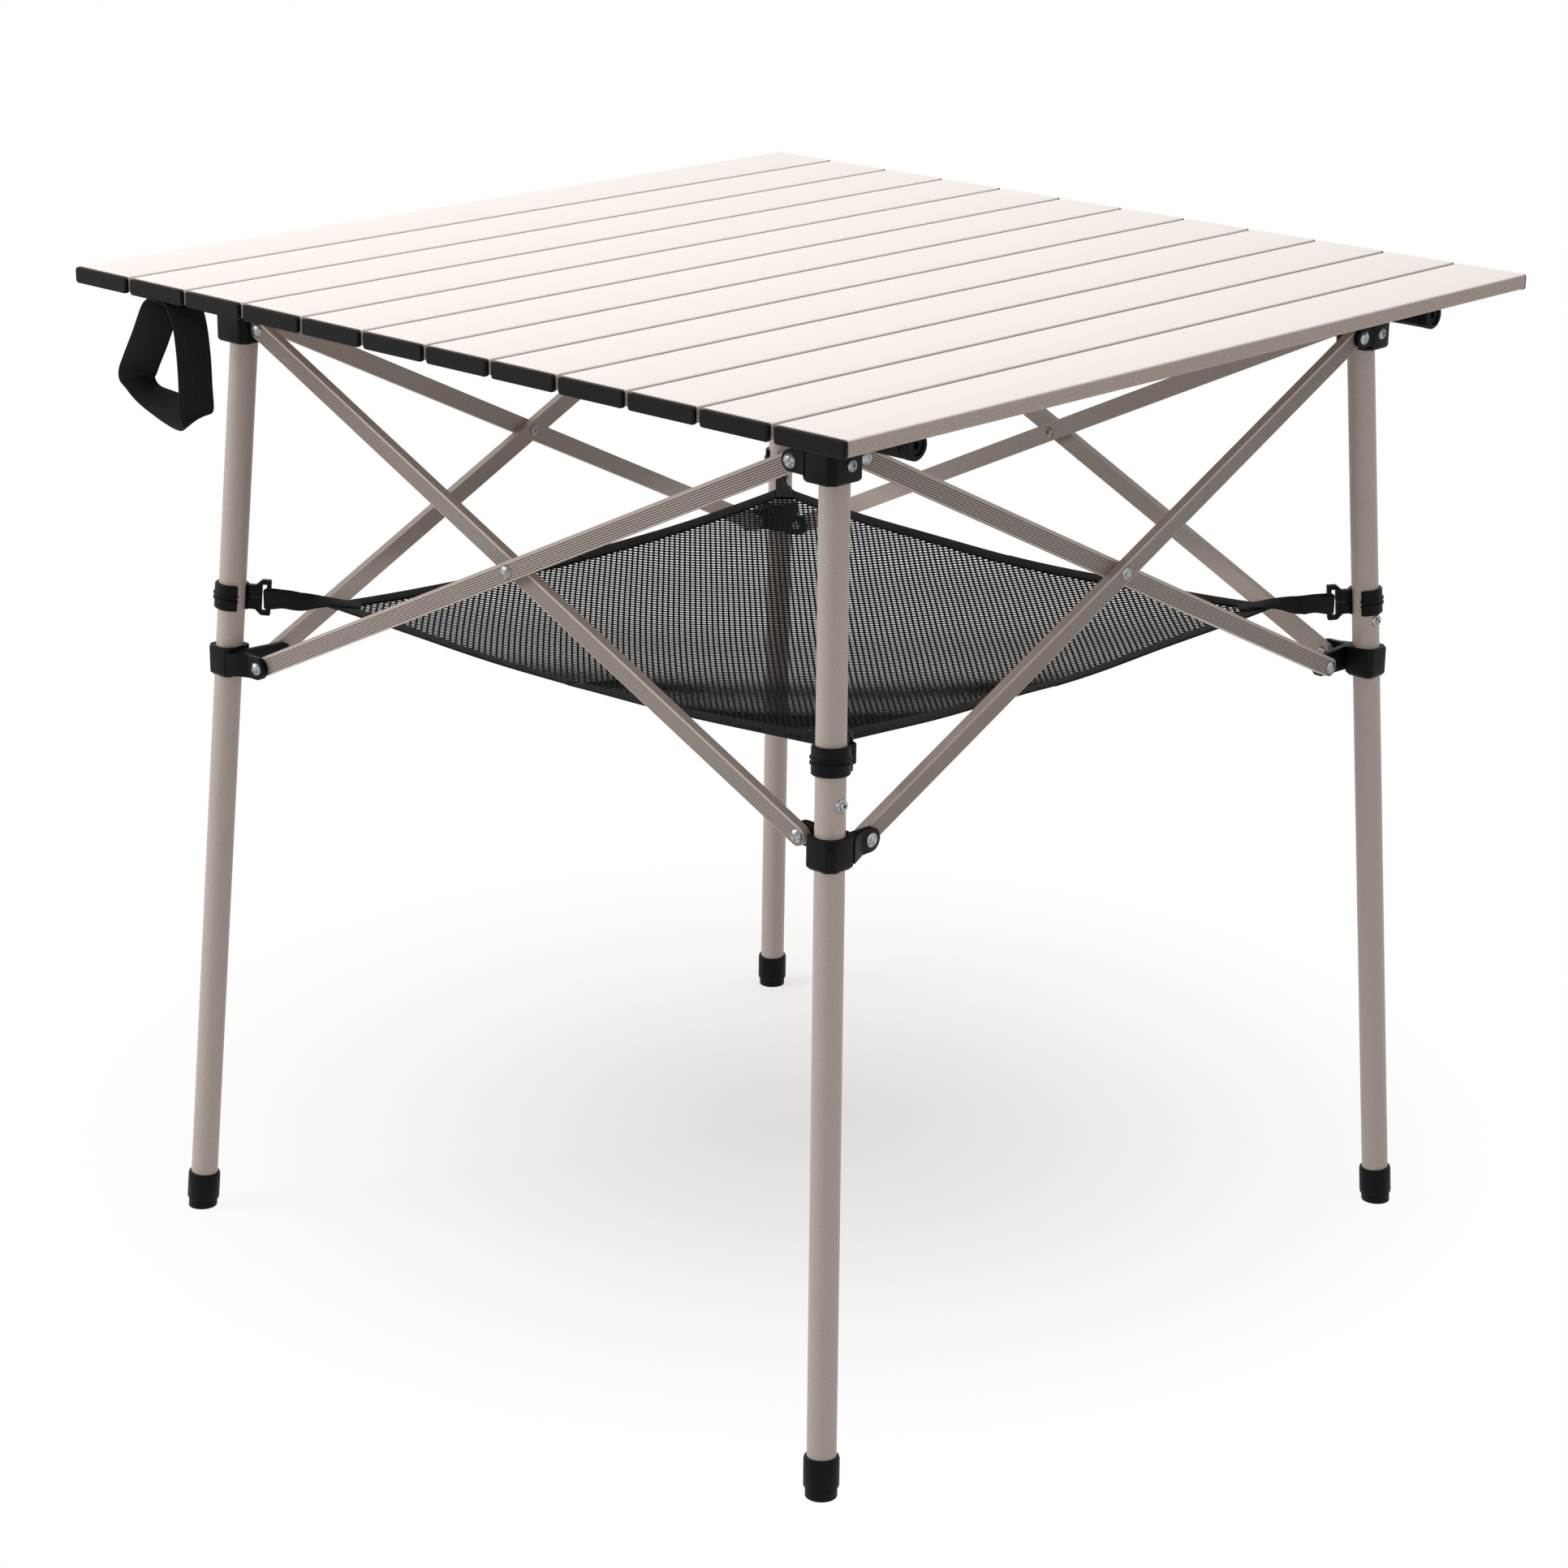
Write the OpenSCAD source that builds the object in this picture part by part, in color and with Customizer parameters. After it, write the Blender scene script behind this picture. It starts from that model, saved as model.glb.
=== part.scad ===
// Folding camp kitchen table: a roll-up slatted top on two support rails, four leaning tube legs
// joined by a ring of crossed bars, and a net shelf hung from clips on the legs.
// Origin on the floor under the middle of the top, X across the slats, Y along them, Z up.

/* [Table top] */
// Height of the table's upper surface
table_h = 694; // [600:1:760]
// Length of a slat with its end caps
slat_len = 700; // [640:1:800]
// Number of slats
slat_count = 12; // [9:1:13]
// Width of a slat
slat_w = 55.8; // [50:0.1:57]
// Distance from one slat's middle to the next
slat_pitch = 58.4; // [57.5:0.1:64]
// Thickness of a slat
slat_t = 10.6; // [9:0.1:14]
// Wall of the hollow slat
slat_wall = 1.2; // [0.8:0.1:1.6]
// Thickness of an end cap's flange
cap_flange = 3; // [2:0.5:5]
// Length of an end cap's plug inside the slat
cap_plug = 14; // [12:1:20]
// Diameter of the elastic cord through the end caps
cord_d = 4; // [3:0.5:4.5]

/* [Support rails] */
// Outer diameter of a support rail
rail_od = 18.6; // [16:0.1:20]
// Wall of a support rail
rail_wall = 1.2; // [0.8:0.1:2]
// Length of a support rail over its end sleeves
rail_len = 660; // [600:1:680]
// How far each rail lies inside the legs' line at the top
rail_inset = 3.5; // [0:0.5:8]
// Length of a rail's end sleeve
sleeve_len = 34; // [20:1:50]

/* [Legs] */
// Outer diameter of a leg tube
leg_od = 19; // [16:0.5:20]
// Wall of a leg tube
leg_wall = 1.3; // [0.8:0.1:2]
// Distance between the legs where the top brackets hold them
leg_top_gap = 539; // [500:1:560]
// How far each leg moves out along X and along Y from its top pivot to its slider
leg_spread = 13.3; // [8:0.1:16]
// Outer diameter of a foot
foot_od = 23; // [22:0.5:28]
// Height of a foot
foot_h = 27; // [20:1:40]

/* [Scissor bars] */
// Width of a scissor bar
bar_w = 13; // [10:0.5:14]
// Thickness of a scissor bar
bar_t = 6; // [4:0.5:6.5]
// How far the upper bar pivots lie below the top of the brackets
ear_drop = 9.8; // [9:0.1:12]
// Drop from the upper to the lower bar pivots
pivot_drop = 236.5; // [180:0.5:290]
// Distance from a leg's top pivot to a bar's upper pivot, along the side
top_ear_reach = 20.5; // [20.4:0.1:26]
// Diameter of a rivet's shank
rivet_d = 5; // [4:0.1:6]
// Diameter of a rivet's head
rivet_head = 9.5; // [8:0.1:11]

/* [Joints in plastic] */
// Width of a top bracket across its flats
bracket_w = 26.6; // [24.8:0.1:26.8]
// Height of a top bracket
bracket_h = 21; // [18:0.5:24]
// Width of a slider across its flats
slider_w = 27; // [24:0.1:27]
// Height of a slider
slider_h = 20; // [16:0.5:34]
// Height of the legs' stop rivets above the sliders
stop_lift = 30; // [24:1:40]
// Thickness of an ear
ear_t = 4; // [3:0.5:5]
// Radius of an ear's round end
ear_r = 7; // [6:0.5:9]

/* [Net shelf] */
// Height of the net's corners above the sliders
net_lift = 39; // [34:1:60]
// How far the net's edges lie inside the legs' line at the top
net_inset = 34; // [30:1:60]
// Thickness of the net's binding
net_t = 1.2; // [0.8:0.1:2]
// Width of the hanging webbing
web_w = 13; // [10:0.5:16]
// Height of a net clip's ring
clip_h = 18; // [14:1:24]
// Height of a net clip's slotted tab
tab_h = 25; // [20:1:30]
// How far a net clip's tab stands out from its ring
tab_out = 15; // [12:1:18]
// Wall of a net clip's ring
clip_wall = 2.4; // [1.6:0.1:3]
// How far above the net's corners a clip sits
clip_lift = 7; // [0:1:20]
// How far above the net's corners the front clip sits
front_clip_lift = 18; // [0:1:20]
// How far above the net's corners the right clip sits
right_clip_lift = 5; // [0:1:20]

/* [Carry strap] */
// Width of the strap
strap_w = 25; // [12:1:30]
// Thickness of the strap
strap_t = 1.6; // [1:0.1:3]
// Drop of the strap's loop
strap_drop = 76; // [40:1:100]
// Distance between the strap's two ends
strap_gap = 58; // [30:1:80]

/* [Clearances] */
// Clearance of a rivet in its hole
rivet_clear = 0.05; // [0.02:0.01:0.1]
// Gap between layers of bars and ears
layer_gap = 0.3; // [0.2:0.05:0.5]
// Gap where one piece rests on another
rest_gap = 0.25; // [0.1:0.05:0.4]
// Room for a leg to rock in its top bracket
socket_clear = 0.65; // [0.5:0.05:0.8]
// Room for a leg in its slider
slider_clear = 0.75; // [0.6:0.05:1]
// Room for a leg to move out in its slider while the frame folds
slider_play = 7.4; // [7:0.1:9]
// Gap of a push fit
push_gap = 0.05; // [0.02:0.01:0.1]

/* [Hidden] */
$fn = 48;
sand = "#9a8f88";
pale = "#f4ece9";
black = "#222222";
zinc = "#b9b9b6";
big = 2000;
slat_under = table_h - slat_t;
slat_body = slat_len - 2 * cap_flange;
rail_z = slat_under - rest_gap - rail_od / 2;
bracket_top = rail_z - rail_od / 2 - rest_gap;
bracket_low = bracket_top - bracket_h;
pivot_top_z = bracket_top - ear_drop;
rail_gap = leg_top_gap - 2 * rail_inset;
net_w = leg_top_gap - 2 * net_inset;
leg_half = leg_top_gap / 2;
slider_half = leg_half + leg_spread;
slider_z = pivot_top_z - pivot_drop;
// Legs lean outward along the diagonal; the lean of the folded frame comes from the same spread
lean = atan(leg_spread * sqrt(2) / pivot_drop);
fold_range = 58;
pivot_half = leg_half - top_ear_reach;
bar_len = sqrt(4 * pivot_half * pivot_half + pivot_drop * pivot_drop);
bar_tilt = asin(pivot_drop / bar_len);
folded_drop = bar_len * sin(bar_tilt + fold_range);
folded_lean = atan(leg_spread * sqrt(2) / folded_drop);
bore_lean = (lean + folded_lean) / 2;
leg_down = pivot_top_z / cos(lean);
leg_up = (bracket_top - pivot_top_z) / cos(lean) - 1.4;
// The two layers of bars meet midway between the legs' line at the top and at the sliders
bar_plane = leg_half + leg_spread / 2;
bar_in = 0.2;
ear_in = bar_in + bar_t + layer_gap;
rivet_tail = 1.2;
net_z = slider_z + net_lift;
strap_x = -4 * slat_pitch - 8;

// Corner and side order: front, right, back, left, each a quarter turn from the one before
module corner(k) { rotate([0, 0, 90 * k]) children(); }

// Places children on the front corner's leg, with the origin on its top pivot and Z up the leg
module on_leg(tilt = lean) {
    translate([leg_half, -leg_half, pivot_top_z]) rotate([0, 0, -45]) rotate([0, -tilt, 0]) children();
}

// Lays a shape drawn in X and Z into a slab of a side, out from the middle from y0 to y1
module slab(y0, y1) {
    translate([0, -y0, 0]) rotate([90, 0, 0]) linear_extrude(y1 - y0) children();
}

// The same slab on the next side around the corner
module slab_next(y0, y1) { rotate([0, 0, 90]) slab(y0, y1) children(); }

// Octagon drawn out by a length along the front corner's diagonal
module long_octagon(flats, out) {
    r = flats / 2 / cos(22.5);
    polygon([for (a = [22.5:45:337.5])
        r * [cos(a), sin(a)] + (cos(a + 45) > 0 ? out * [cos(45), -sin(45)] : [0, 0])]);
}

module round_bar(len, w) {
    translate([0, -w / 2]) square([len, w]);
    circle(d = w);
    translate([len, 0]) circle(d = w);
}

module rounded_box(w, h, r) {
    translate([-w / 2 + r, -h / 2]) square([w - 2 * r, h]);
    translate([-w / 2, -h / 2 + r]) square([w, h - 2 * r]);
    for (x = [-1, 1], y = [-1, 1]) translate([x * (w / 2 - r), y * (h / 2 - r)]) circle(r = r);
}

// Hollow slat with two inner webs and a plugged cap at each end, drawn along Y
module slat(i) {
    corner_r = 2;
    cap_inset = 0.9;
    web_x = slat_w / 6;
    inner_w = slat_w - 2 * slat_wall;
    inner_h = slat_t - 2 * slat_wall;
    x = (i - (slat_count + 1) / 2) * slat_pitch;
    cord_y = slat_len / 2 - cap_flange - cap_plug / 2;
    translate([x, 0, table_h - slat_t / 2]) {
        color(pale) difference() {
            rotate([90, 0, 0]) linear_extrude(slat_body, center = true) difference() {
                rounded_box(slat_w, slat_t, corner_r);
                for (s = [-1, 0, 1]) translate([s * 2 * web_x, 0])
                    square([2 * web_x - slat_wall - (s == 0 ? 0 : slat_wall / 2), inner_h], center = true);
            }
            for (s = [-1, 1]) translate([0, s * cord_y, 0]) rotate([0, 90, 0])
                cylinder(d = cord_d + 2 * slat_wall, h = big, center = true);
        }
        color(black) for (s = [-1, 1]) difference() {
            union() {
                translate([0, s * (slat_len / 2 - cap_flange / 2), 0]) rotate([90, 0, 0])
                    linear_extrude(cap_flange - 2 * push_gap, center = true)
                        rounded_box(slat_w - 2 * cap_inset, slat_t, corner_r);
                for (t = [-1, 0, 1])
                    translate([t * 2 * web_x, s * (slat_len / 2 - cap_flange / 2 - cap_plug / 2), 0])
                        cube([2 * web_x - 3 * slat_wall, cap_plug + cap_flange / 2, inner_h - 2 * push_gap],
                            center = true);
            }
            translate([0, s * cord_y, 0]) rotate([0, 90, 0])
                cylinder(d = cord_d + 2 * rest_gap, h = big, center = true);
        }
    }
}

// Rail tube whose stepped ends carry black sleeves; a sleeve has a collar and a recessed end
module rail(s) {
    ring_t = 2;
    translate([0, s * rail_gap / 2, rail_z]) rotate([0, 90, 0]) {
        color(sand) difference() {
            union() {
                cylinder(d = rail_od, h = rail_len - 2 * sleeve_len - 2 * push_gap, center = true);
                cylinder(d = rail_od - 2 * rail_wall, h = rail_len - 4 * ring_t, center = true);
            }
            cylinder(d = rail_od - 4 * rail_wall, h = big, center = true);
        }
        color(black) for (e = [0, 180]) rotate([e, 0, 0]) translate([0, 0, rail_len / 2 - sleeve_len])
            difference() {
                union() {
                    cylinder(d = rail_od - 0.4, h = sleeve_len);
                    translate([0, 0, sleeve_len - 3 * ring_t]) cylinder(d = rail_od, h = ring_t);
                }
                translate([0, 0, -1])
                    cylinder(d = rail_od - 2 * rail_wall + 2 * push_gap, h = sleeve_len - ring_t);
                translate([0, 0, sleeve_len - ring_t / 2]) cylinder(d = rail_od - 4 * rail_wall, h = ring_t);
            }
    }
}

module rail_front() { rail(-1); }
module rail_rear() { rail(1); }

// Two elastic cords run across all the slats through their end caps
module slat_cords() {
    cord_y = slat_len / 2 - cap_flange - cap_plug / 2;
    color(black) for (s = [-1, 1]) translate([0, s * cord_y, table_h - slat_t / 2]) rotate([0, 90, 0])
        cylinder(d = cord_d, h = (slat_count - 1) * slat_pitch + slat_w - 4, center = true);
}

// Elastic loop that hangs under two slats and holds the rolled top together
module carry_strap() {
    r = strap_gap / 2;
    straight = strap_drop - r;
    color(black) translate([strap_x, -slat_len / 2 + cap_flange + 2 + strap_w, slat_under - rest_gap])
        rotate([90, 0, 0]) linear_extrude(strap_w) difference() {
            union() {
                translate([-r, -straight]) square([2 * r, straight]);
                translate([0, -straight]) circle(r = r);
            }
            translate([-r + strap_t, -straight]) square([2 * (r - strap_t), straight + 1]);
            translate([0, -straight]) circle(r = r - strap_t);
        }
}

module ear_shape(reach) {
    difference() {
        round_bar(reach, 2 * ear_r);
        translate([reach, 0]) circle(d = rivet_d + 2 * rivet_clear);
    }
}

// Socket outline: a square with cut corners, drawn out on one side to lie flush with the outer ear
module socket_shape() {
    w = bracket_w / 2;
    out = bar_plane + ear_in + ear_t - leg_half;
    cut = 4;
    polygon([[w, cut - out], [w, w - cut], [w - cut, w], [cut - w, w], [-w, w - cut], [-w, cut - out],
        [cut - w, -out], [w - cut, -out]]);
}

// Top bracket of the front corner: square socket, one outer ear and one inner ear
module bracket() {
    ear_z = pivot_top_z;
    color(black) difference() {
        union() {
            translate([leg_half, -leg_half, bracket_low]) linear_extrude(bracket_h) socket_shape();
            slab(bar_plane + ear_in, bar_plane + ear_in + ear_t) translate([leg_half, ear_z])
                mirror([1, 0]) ear_shape(top_ear_reach);
            slab_next(bar_plane - ear_in - ear_t, bar_plane - ear_in) translate([-leg_half, ear_z])
                ear_shape(top_ear_reach);
        }
        on_leg(bore_lean) cylinder(d = leg_od + 2 * socket_clear, h = 3 * bracket_h, center = true);
    }
}

// Rivet along the outward normal of a side, from depth y0 to y1, with a domed head outside
module rivet(x, z, y0, y1) {
    dome = 2;
    translate([x, -y0, z]) rotate([90, 0, 0]) {
        cylinder(d = rivet_d, h = y1 - y0);
        translate([0, 0, y1 - y0 + push_gap]) intersection() {
            cylinder(d = rivet_head, h = dome);
            translate([0, 0, dome - rivet_head]) sphere(r = rivet_head);
        }
        translate([0, 0, y1 - y0 - push_gap]) cylinder(d = rivet_d, h = 2 * push_gap + dome / 2);
        translate([0, 0, -rivet_tail]) cylinder(d = rivet_head * 0.8, h = rivet_tail - push_gap);
        translate([0, 0, -rivet_tail / 2]) cylinder(d = rivet_d, h = rivet_tail);
    }
}

// Two ear rivets and a screw; the screw's head lies at screw_out from the leg's axis
module bracket_rivets(screw_turn, screw_out) {
    screw_d = 7.8;
    screw_h = 1.4;
    slot_w = 1;
    color(zinc) {
        rivet(pivot_half, pivot_top_z, bar_plane + bar_in, bar_plane + ear_in + ear_t);
        rotate([0, 0, 90]) rivet(-pivot_half, pivot_top_z, bar_plane - ear_in - ear_t, bar_plane - bar_in);
        translate([leg_half, -leg_half, pivot_top_z]) rotate([0, 0, screw_turn])
            translate([screw_out + push_gap, 0, 0]) rotate([0, 90, 0]) difference() {
                cylinder(d = screw_d, h = screw_h);
                for (a = [0, 90]) rotate([0, 0, a])
                    translate([-screw_d / 3, -slot_w / 2, screw_h / 2])
                        cube([screw_d / 1.5, slot_w, screw_h]);
            }
    }
}

// Leg tube of the front corner with its stop rivet above the slider, on the side that stop_turn picks
module leg(stop_turn) {
    stop_drop = pivot_drop / cos(lean) - stop_lift;
    stop_d = 9;
    stop_h = 1.2;
    button_d = 5;
    button_h = 2;
    color(sand) on_leg() difference() {
        translate([0, 0, -leg_down + 4]) cylinder(d = leg_od, h = leg_down - 4 + leg_up);
        translate([0, 0, -big]) cylinder(d = leg_od - 2 * leg_wall, h = 2 * big);
    }
    color(zinc) on_leg() rotate([0, 0, 45 + stop_turn]) translate([leg_od / 2 + push_gap / 2, 0, -stop_drop])
        rotate([0, 90, 0]) {
            cylinder(d = stop_d, h = stop_h);
            cylinder(d = button_d, h = button_h);
        }
}

// Foot of the front corner: a cup on the leg's end, cut level where it stands on the floor
module foot() {
    base_h = 6;
    base_d = foot_od - 2;
    cup_d = leg_od + 2 * push_gap;
    color(black) difference() {
        on_leg() difference() {
            union() {
                translate([0, 0, -leg_down + base_h]) cylinder(d = foot_od, h = foot_h - base_h);
                translate([0, 0, -leg_down - base_h]) cylinder(d = base_d, h = 2 * base_h + 1);
            }
            translate([0, 0, -leg_down + 4 - push_gap]) cylinder(d = cup_d, h = big);
        }
        translate([0, 0, -big / 2]) cube(big, center = true);
    }
}

// Slider of the front corner: octagonal collar with room for the leg to move out as it folds
module slider() {
    low = slider_z - slider_h / 2;
    reach = slider_half - pivot_half;
    bore_d = leg_od + 2 * slider_clear;
    color(black) difference() {
        union() {
            translate([slider_half, -slider_half, low]) linear_extrude(slider_h)
                long_octagon(slider_w, slider_play);
            slab(bar_plane - ear_in - ear_t, bar_plane - ear_in) translate([slider_half, slider_z])
                mirror([1, 0]) ear_shape(reach);
            translate([slider_half - ear_r, -slider_half, slider_z - ear_r])
                cube([2 * ear_r, slider_half - bar_plane + ear_in + ear_t, 2 * ear_r]);
            slab_next(bar_plane + ear_in, bar_plane + ear_in + ear_t) translate([-slider_half, slider_z])
                ear_shape(reach);
        }
        translate([slider_half, -slider_half, slider_z]) rotate([0, 0, -45]) rotate([0, -bore_lean, 0])
            linear_extrude(2 * slider_h, center = true) round_bar(slider_play, bore_d);
    }
}

module slider_rivets() {
    color(zinc) {
        rivet(pivot_half, slider_z, bar_plane - ear_in - ear_t, bar_plane - bar_in);
        rotate([0, 0, 90]) rivet(-pivot_half, slider_z, bar_plane + bar_in, bar_plane + ear_in + ear_t);
    }
}

// Bar of the front left side with a hole at each end and at its middle
module bar(outer) {
    hole = rivet_d + 2 * rivet_clear;
    y0 = outer ? bar_plane + bar_in : bar_plane - bar_in - bar_t;
    color(sand) slab(y0, y0 + bar_t) mirror([outer ? 1 : 0, 0]) translate([-pivot_half, pivot_top_z])
        rotate(-bar_tilt) difference() {
            round_bar(bar_len, bar_w);
            for (s = [0, bar_len / 2, bar_len]) translate([s, 0]) circle(d = hole);
        }
}

module cross_rivet() {
    color(zinc) rivet(0, (pivot_top_z + slider_z) / 2, bar_plane - bar_in - bar_t, bar_plane + bar_in + bar_t);
}

// Split ring on the leg with a slotted tab that faces the middle of the table
module net_clip(lift) {
    ring_d = leg_od + 2 * push_gap + 2 * clip_wall;
    drop = (pivot_top_z - net_z - lift) / cos(lean);
    tab_w = 5;
    neck_h = clip_h - 2;
    head = 9;
    slot_w = 3;
    color(black) on_leg() translate([0, 0, -drop]) difference() {
        union() {
            translate([0, 0, -clip_h / 2]) cylinder(d = ring_d, h = clip_h);
            translate([-ring_d / 2 - tab_out + 1, -tab_w / 2, -neck_h / 2])
                cube([ring_d / 2 + tab_out - 1, tab_w, neck_h]);
            translate([-ring_d / 2 - tab_out, -tab_w / 2, -tab_h / 2]) cube([head, tab_w, tab_h]);
        }
        cylinder(d = leg_od + 2 * push_gap, h = big, center = true);
        rotate([0, 0, 75]) translate([0, -3, -big / 2]) cube([ring_d, 6, big]);
        translate([-ring_d / 2 - tab_out + (head - slot_w) / 2, -tab_w, -tab_h / 2 + slot_w])
            cube([slot_w, 2 * tab_w, tab_h - 2 * slot_w]);
    }
}

// A quarter of the net shelf with the webbing that hangs it in its clip
module net_quarter(lift) {
    half = net_w / 2;
    join_gap = 0.3;
    drop = (pivot_top_z - net_z - lift) / cos(lean);
    upright = 6;
    web_end = 1;
    clip_half = leg_half + drop * sin(lean) / sqrt(2);
    tab_in = (leg_od / 2 + clip_wall + tab_out + web_end) / sqrt(2);
    web_t = 1.4;
    web_len = (clip_half - tab_in - half + 14) * sqrt(2);
    color(black) {
        translate([join_gap, -half, net_z - net_t / 2]) cube([half - join_gap, half - join_gap, net_t]);
        translate([half - 14, -half + 14, net_z + net_t / 2 - 0.01]) rotate([0, 0, -45])
            union() {
                translate([0, -web_w / 2, 0]) cube([web_len, web_w, web_t]);
                translate([web_len - upright, -web_t / 2, 0]) cube([upright, web_t, lift + web_w / 2]);
            }
    }
}

module slat_1() { slat(1); }
module slat_2() { slat(2); }
module slat_3() { slat(3); }
module slat_4() { slat(4); }
module slat_5() { slat(5); }
module slat_6() { slat(6); }
module slat_7() { slat(7); }
module slat_8() { slat(8); }
module slat_9() { slat(9); }
module slat_10() { slat(10); }
module slat_11() { slat(11); }
module slat_12() { slat(12); }
module bracket_front() { corner(0) bracket(); }
module bracket_right() { corner(1) bracket(); }
module bracket_back() { corner(2) bracket(); }
module bracket_left() { corner(3) bracket(); }
module bracket_rivets_front() { corner(0) bracket_rivets(0, bracket_w / 2); }
module bracket_rivets_right() { corner(1) bracket_rivets(-90, bar_plane + ear_in + ear_t - leg_half); }
module bracket_rivets_back() { corner(2) bracket_rivets(0, bracket_w / 2); }
module bracket_rivets_left() { corner(3) bracket_rivets(-90, bar_plane + ear_in + ear_t - leg_half); }
module leg_front() { corner(0) leg(0); }
module leg_right() { corner(1) leg(-90); }
module leg_back() { corner(2) leg(0); }
module leg_left() { corner(3) leg(-90); }
module foot_front() { corner(0) foot(); }
module foot_right() { corner(1) foot(); }
module foot_back() { corner(2) foot(); }
module foot_left() { corner(3) foot(); }
module slider_front() { corner(0) slider(); }
module slider_right() { corner(1) slider(); }
module slider_back() { corner(2) slider(); }
module slider_left() { corner(3) slider(); }
module slider_rivets_front() { corner(0) slider_rivets(); }
module slider_rivets_right() { corner(1) slider_rivets(); }
module slider_rivets_back() { corner(2) slider_rivets(); }
module slider_rivets_left() { corner(3) slider_rivets(); }
module bar_outer_front_left() { corner(0) bar(true); }
module bar_outer_front_right() { corner(1) bar(true); }
module bar_outer_back_right() { corner(2) bar(true); }
module bar_outer_back_left() { corner(3) bar(true); }
module bar_inner_front_left() { corner(0) bar(false); }
module bar_inner_front_right() { corner(1) bar(false); }
module bar_inner_back_right() { corner(2) bar(false); }
module bar_inner_back_left() { corner(3) bar(false); }
module cross_rivet_front_left() { corner(0) cross_rivet(); }
module cross_rivet_front_right() { corner(1) cross_rivet(); }
module cross_rivet_back_right() { corner(2) cross_rivet(); }
module cross_rivet_back_left() { corner(3) cross_rivet(); }
module net_clip_front() { corner(0) net_clip(front_clip_lift); }
module net_clip_right() { corner(1) net_clip(right_clip_lift); }
module net_clip_back() { corner(2) net_clip(clip_lift); }
module net_clip_left() { corner(3) net_clip(clip_lift); }
module net_front() { corner(0) net_quarter(front_clip_lift); }
module net_right() { corner(1) net_quarter(right_clip_lift); }
module net_back() { corner(2) net_quarter(clip_lift); }
module net_left() { corner(3) net_quarter(clip_lift); }

slat_1();
slat_2();
slat_3();
slat_4();
slat_5();
slat_6();
slat_7();
slat_8();
slat_9();
slat_10();
slat_11();
slat_12();
rail_front();
rail_rear();
slat_cords();
carry_strap();
bracket_front();
bracket_right();
bracket_back();
bracket_left();
bracket_rivets_front();
bracket_rivets_right();
bracket_rivets_back();
bracket_rivets_left();
leg_front();
leg_right();
leg_back();
leg_left();
foot_front();
foot_right();
foot_back();
foot_left();
slider_front();
slider_right();
slider_back();
slider_left();
slider_rivets_front();
slider_rivets_right();
slider_rivets_back();
slider_rivets_left();
bar_outer_front_left();
bar_outer_front_right();
bar_outer_back_right();
bar_outer_back_left();
bar_inner_front_left();
bar_inner_front_right();
bar_inner_back_right();
bar_inner_back_left();
cross_rivet_front_left();
cross_rivet_front_right();
cross_rivet_back_right();
cross_rivet_back_left();
net_clip_front();
net_clip_right();
net_clip_back();
net_clip_left();
net_front();
net_right();
net_back();
net_left();
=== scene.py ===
"""Looks of a folding camp kitchen table: roll-up slatted top, crossed-bar frame and net shelf."""

import math
from types import SimpleNamespace

import bmesh
import bpy
from mathutils import Matrix, Vector


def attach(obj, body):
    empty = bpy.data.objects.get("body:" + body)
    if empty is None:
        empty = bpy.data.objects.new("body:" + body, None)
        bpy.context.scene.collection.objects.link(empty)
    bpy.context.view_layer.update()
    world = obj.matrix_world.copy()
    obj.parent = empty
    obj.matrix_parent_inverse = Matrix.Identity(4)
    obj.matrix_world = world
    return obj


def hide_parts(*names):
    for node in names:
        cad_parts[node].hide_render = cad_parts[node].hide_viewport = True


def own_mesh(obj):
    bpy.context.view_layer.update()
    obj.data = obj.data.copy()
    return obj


bl_info = {
    "name": "Folding camp kitchen table",
    "version": (1, 0, 0),
    "blender": (4, 5, 0),
    "location": "View3D > Sidebar > Camp table",
    "description": "Builds the visible pieces of a folding camp kitchen table on its packed frame",
    "category": "Object",
}

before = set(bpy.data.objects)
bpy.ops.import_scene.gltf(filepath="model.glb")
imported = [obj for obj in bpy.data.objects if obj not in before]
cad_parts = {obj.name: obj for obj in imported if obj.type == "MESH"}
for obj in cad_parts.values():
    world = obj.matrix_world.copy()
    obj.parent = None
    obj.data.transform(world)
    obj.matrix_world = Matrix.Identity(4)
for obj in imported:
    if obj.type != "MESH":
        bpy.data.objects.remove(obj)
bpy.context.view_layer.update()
MM = 0.001
CORNERS = ("front", "right", "back", "left")
SIDES = ("front_left", "front_right", "back_right", "back_left")
# Lays a turned shape down along X
LIE = Matrix.Rotation(math.radians(90), 4, "Y")
SLATS = 12
GROOVES = 7
# Height of each clip above its net corner, in the order of the corners
CLIP_LIFT = (18, 5, 7, 7)
# How far each clip is turned on its leg, in degrees
CLIP_TURN = (28, 0, 0, 0)


def mm_size(name, text, default):
    """A length that a user may change, given in millimetres and kept in metres."""
    return bpy.props.FloatProperty(
        name=name, description=text, default=default * MM, unit="LENGTH", subtype="DISTANCE", precision=4
    )


def colour_choice(name, text, code):
    """A colour that a user may change, given as an sRGB hex value."""
    return bpy.props.FloatVectorProperty(
        name=name, description=text, default=linear(code), subtype="COLOR", size=4, min=0, max=1
    )


def linear(code):
    """The linear colour of an sRGB hex value."""
    parts = [int(code[i : i + 2], 16) / 255 for i in (1, 3, 5)]
    return [c / 12.92 if c <= 0.04045 else ((c + 0.055) / 1.055) ** 2.4 for c in parts] + [1.0]


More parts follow.
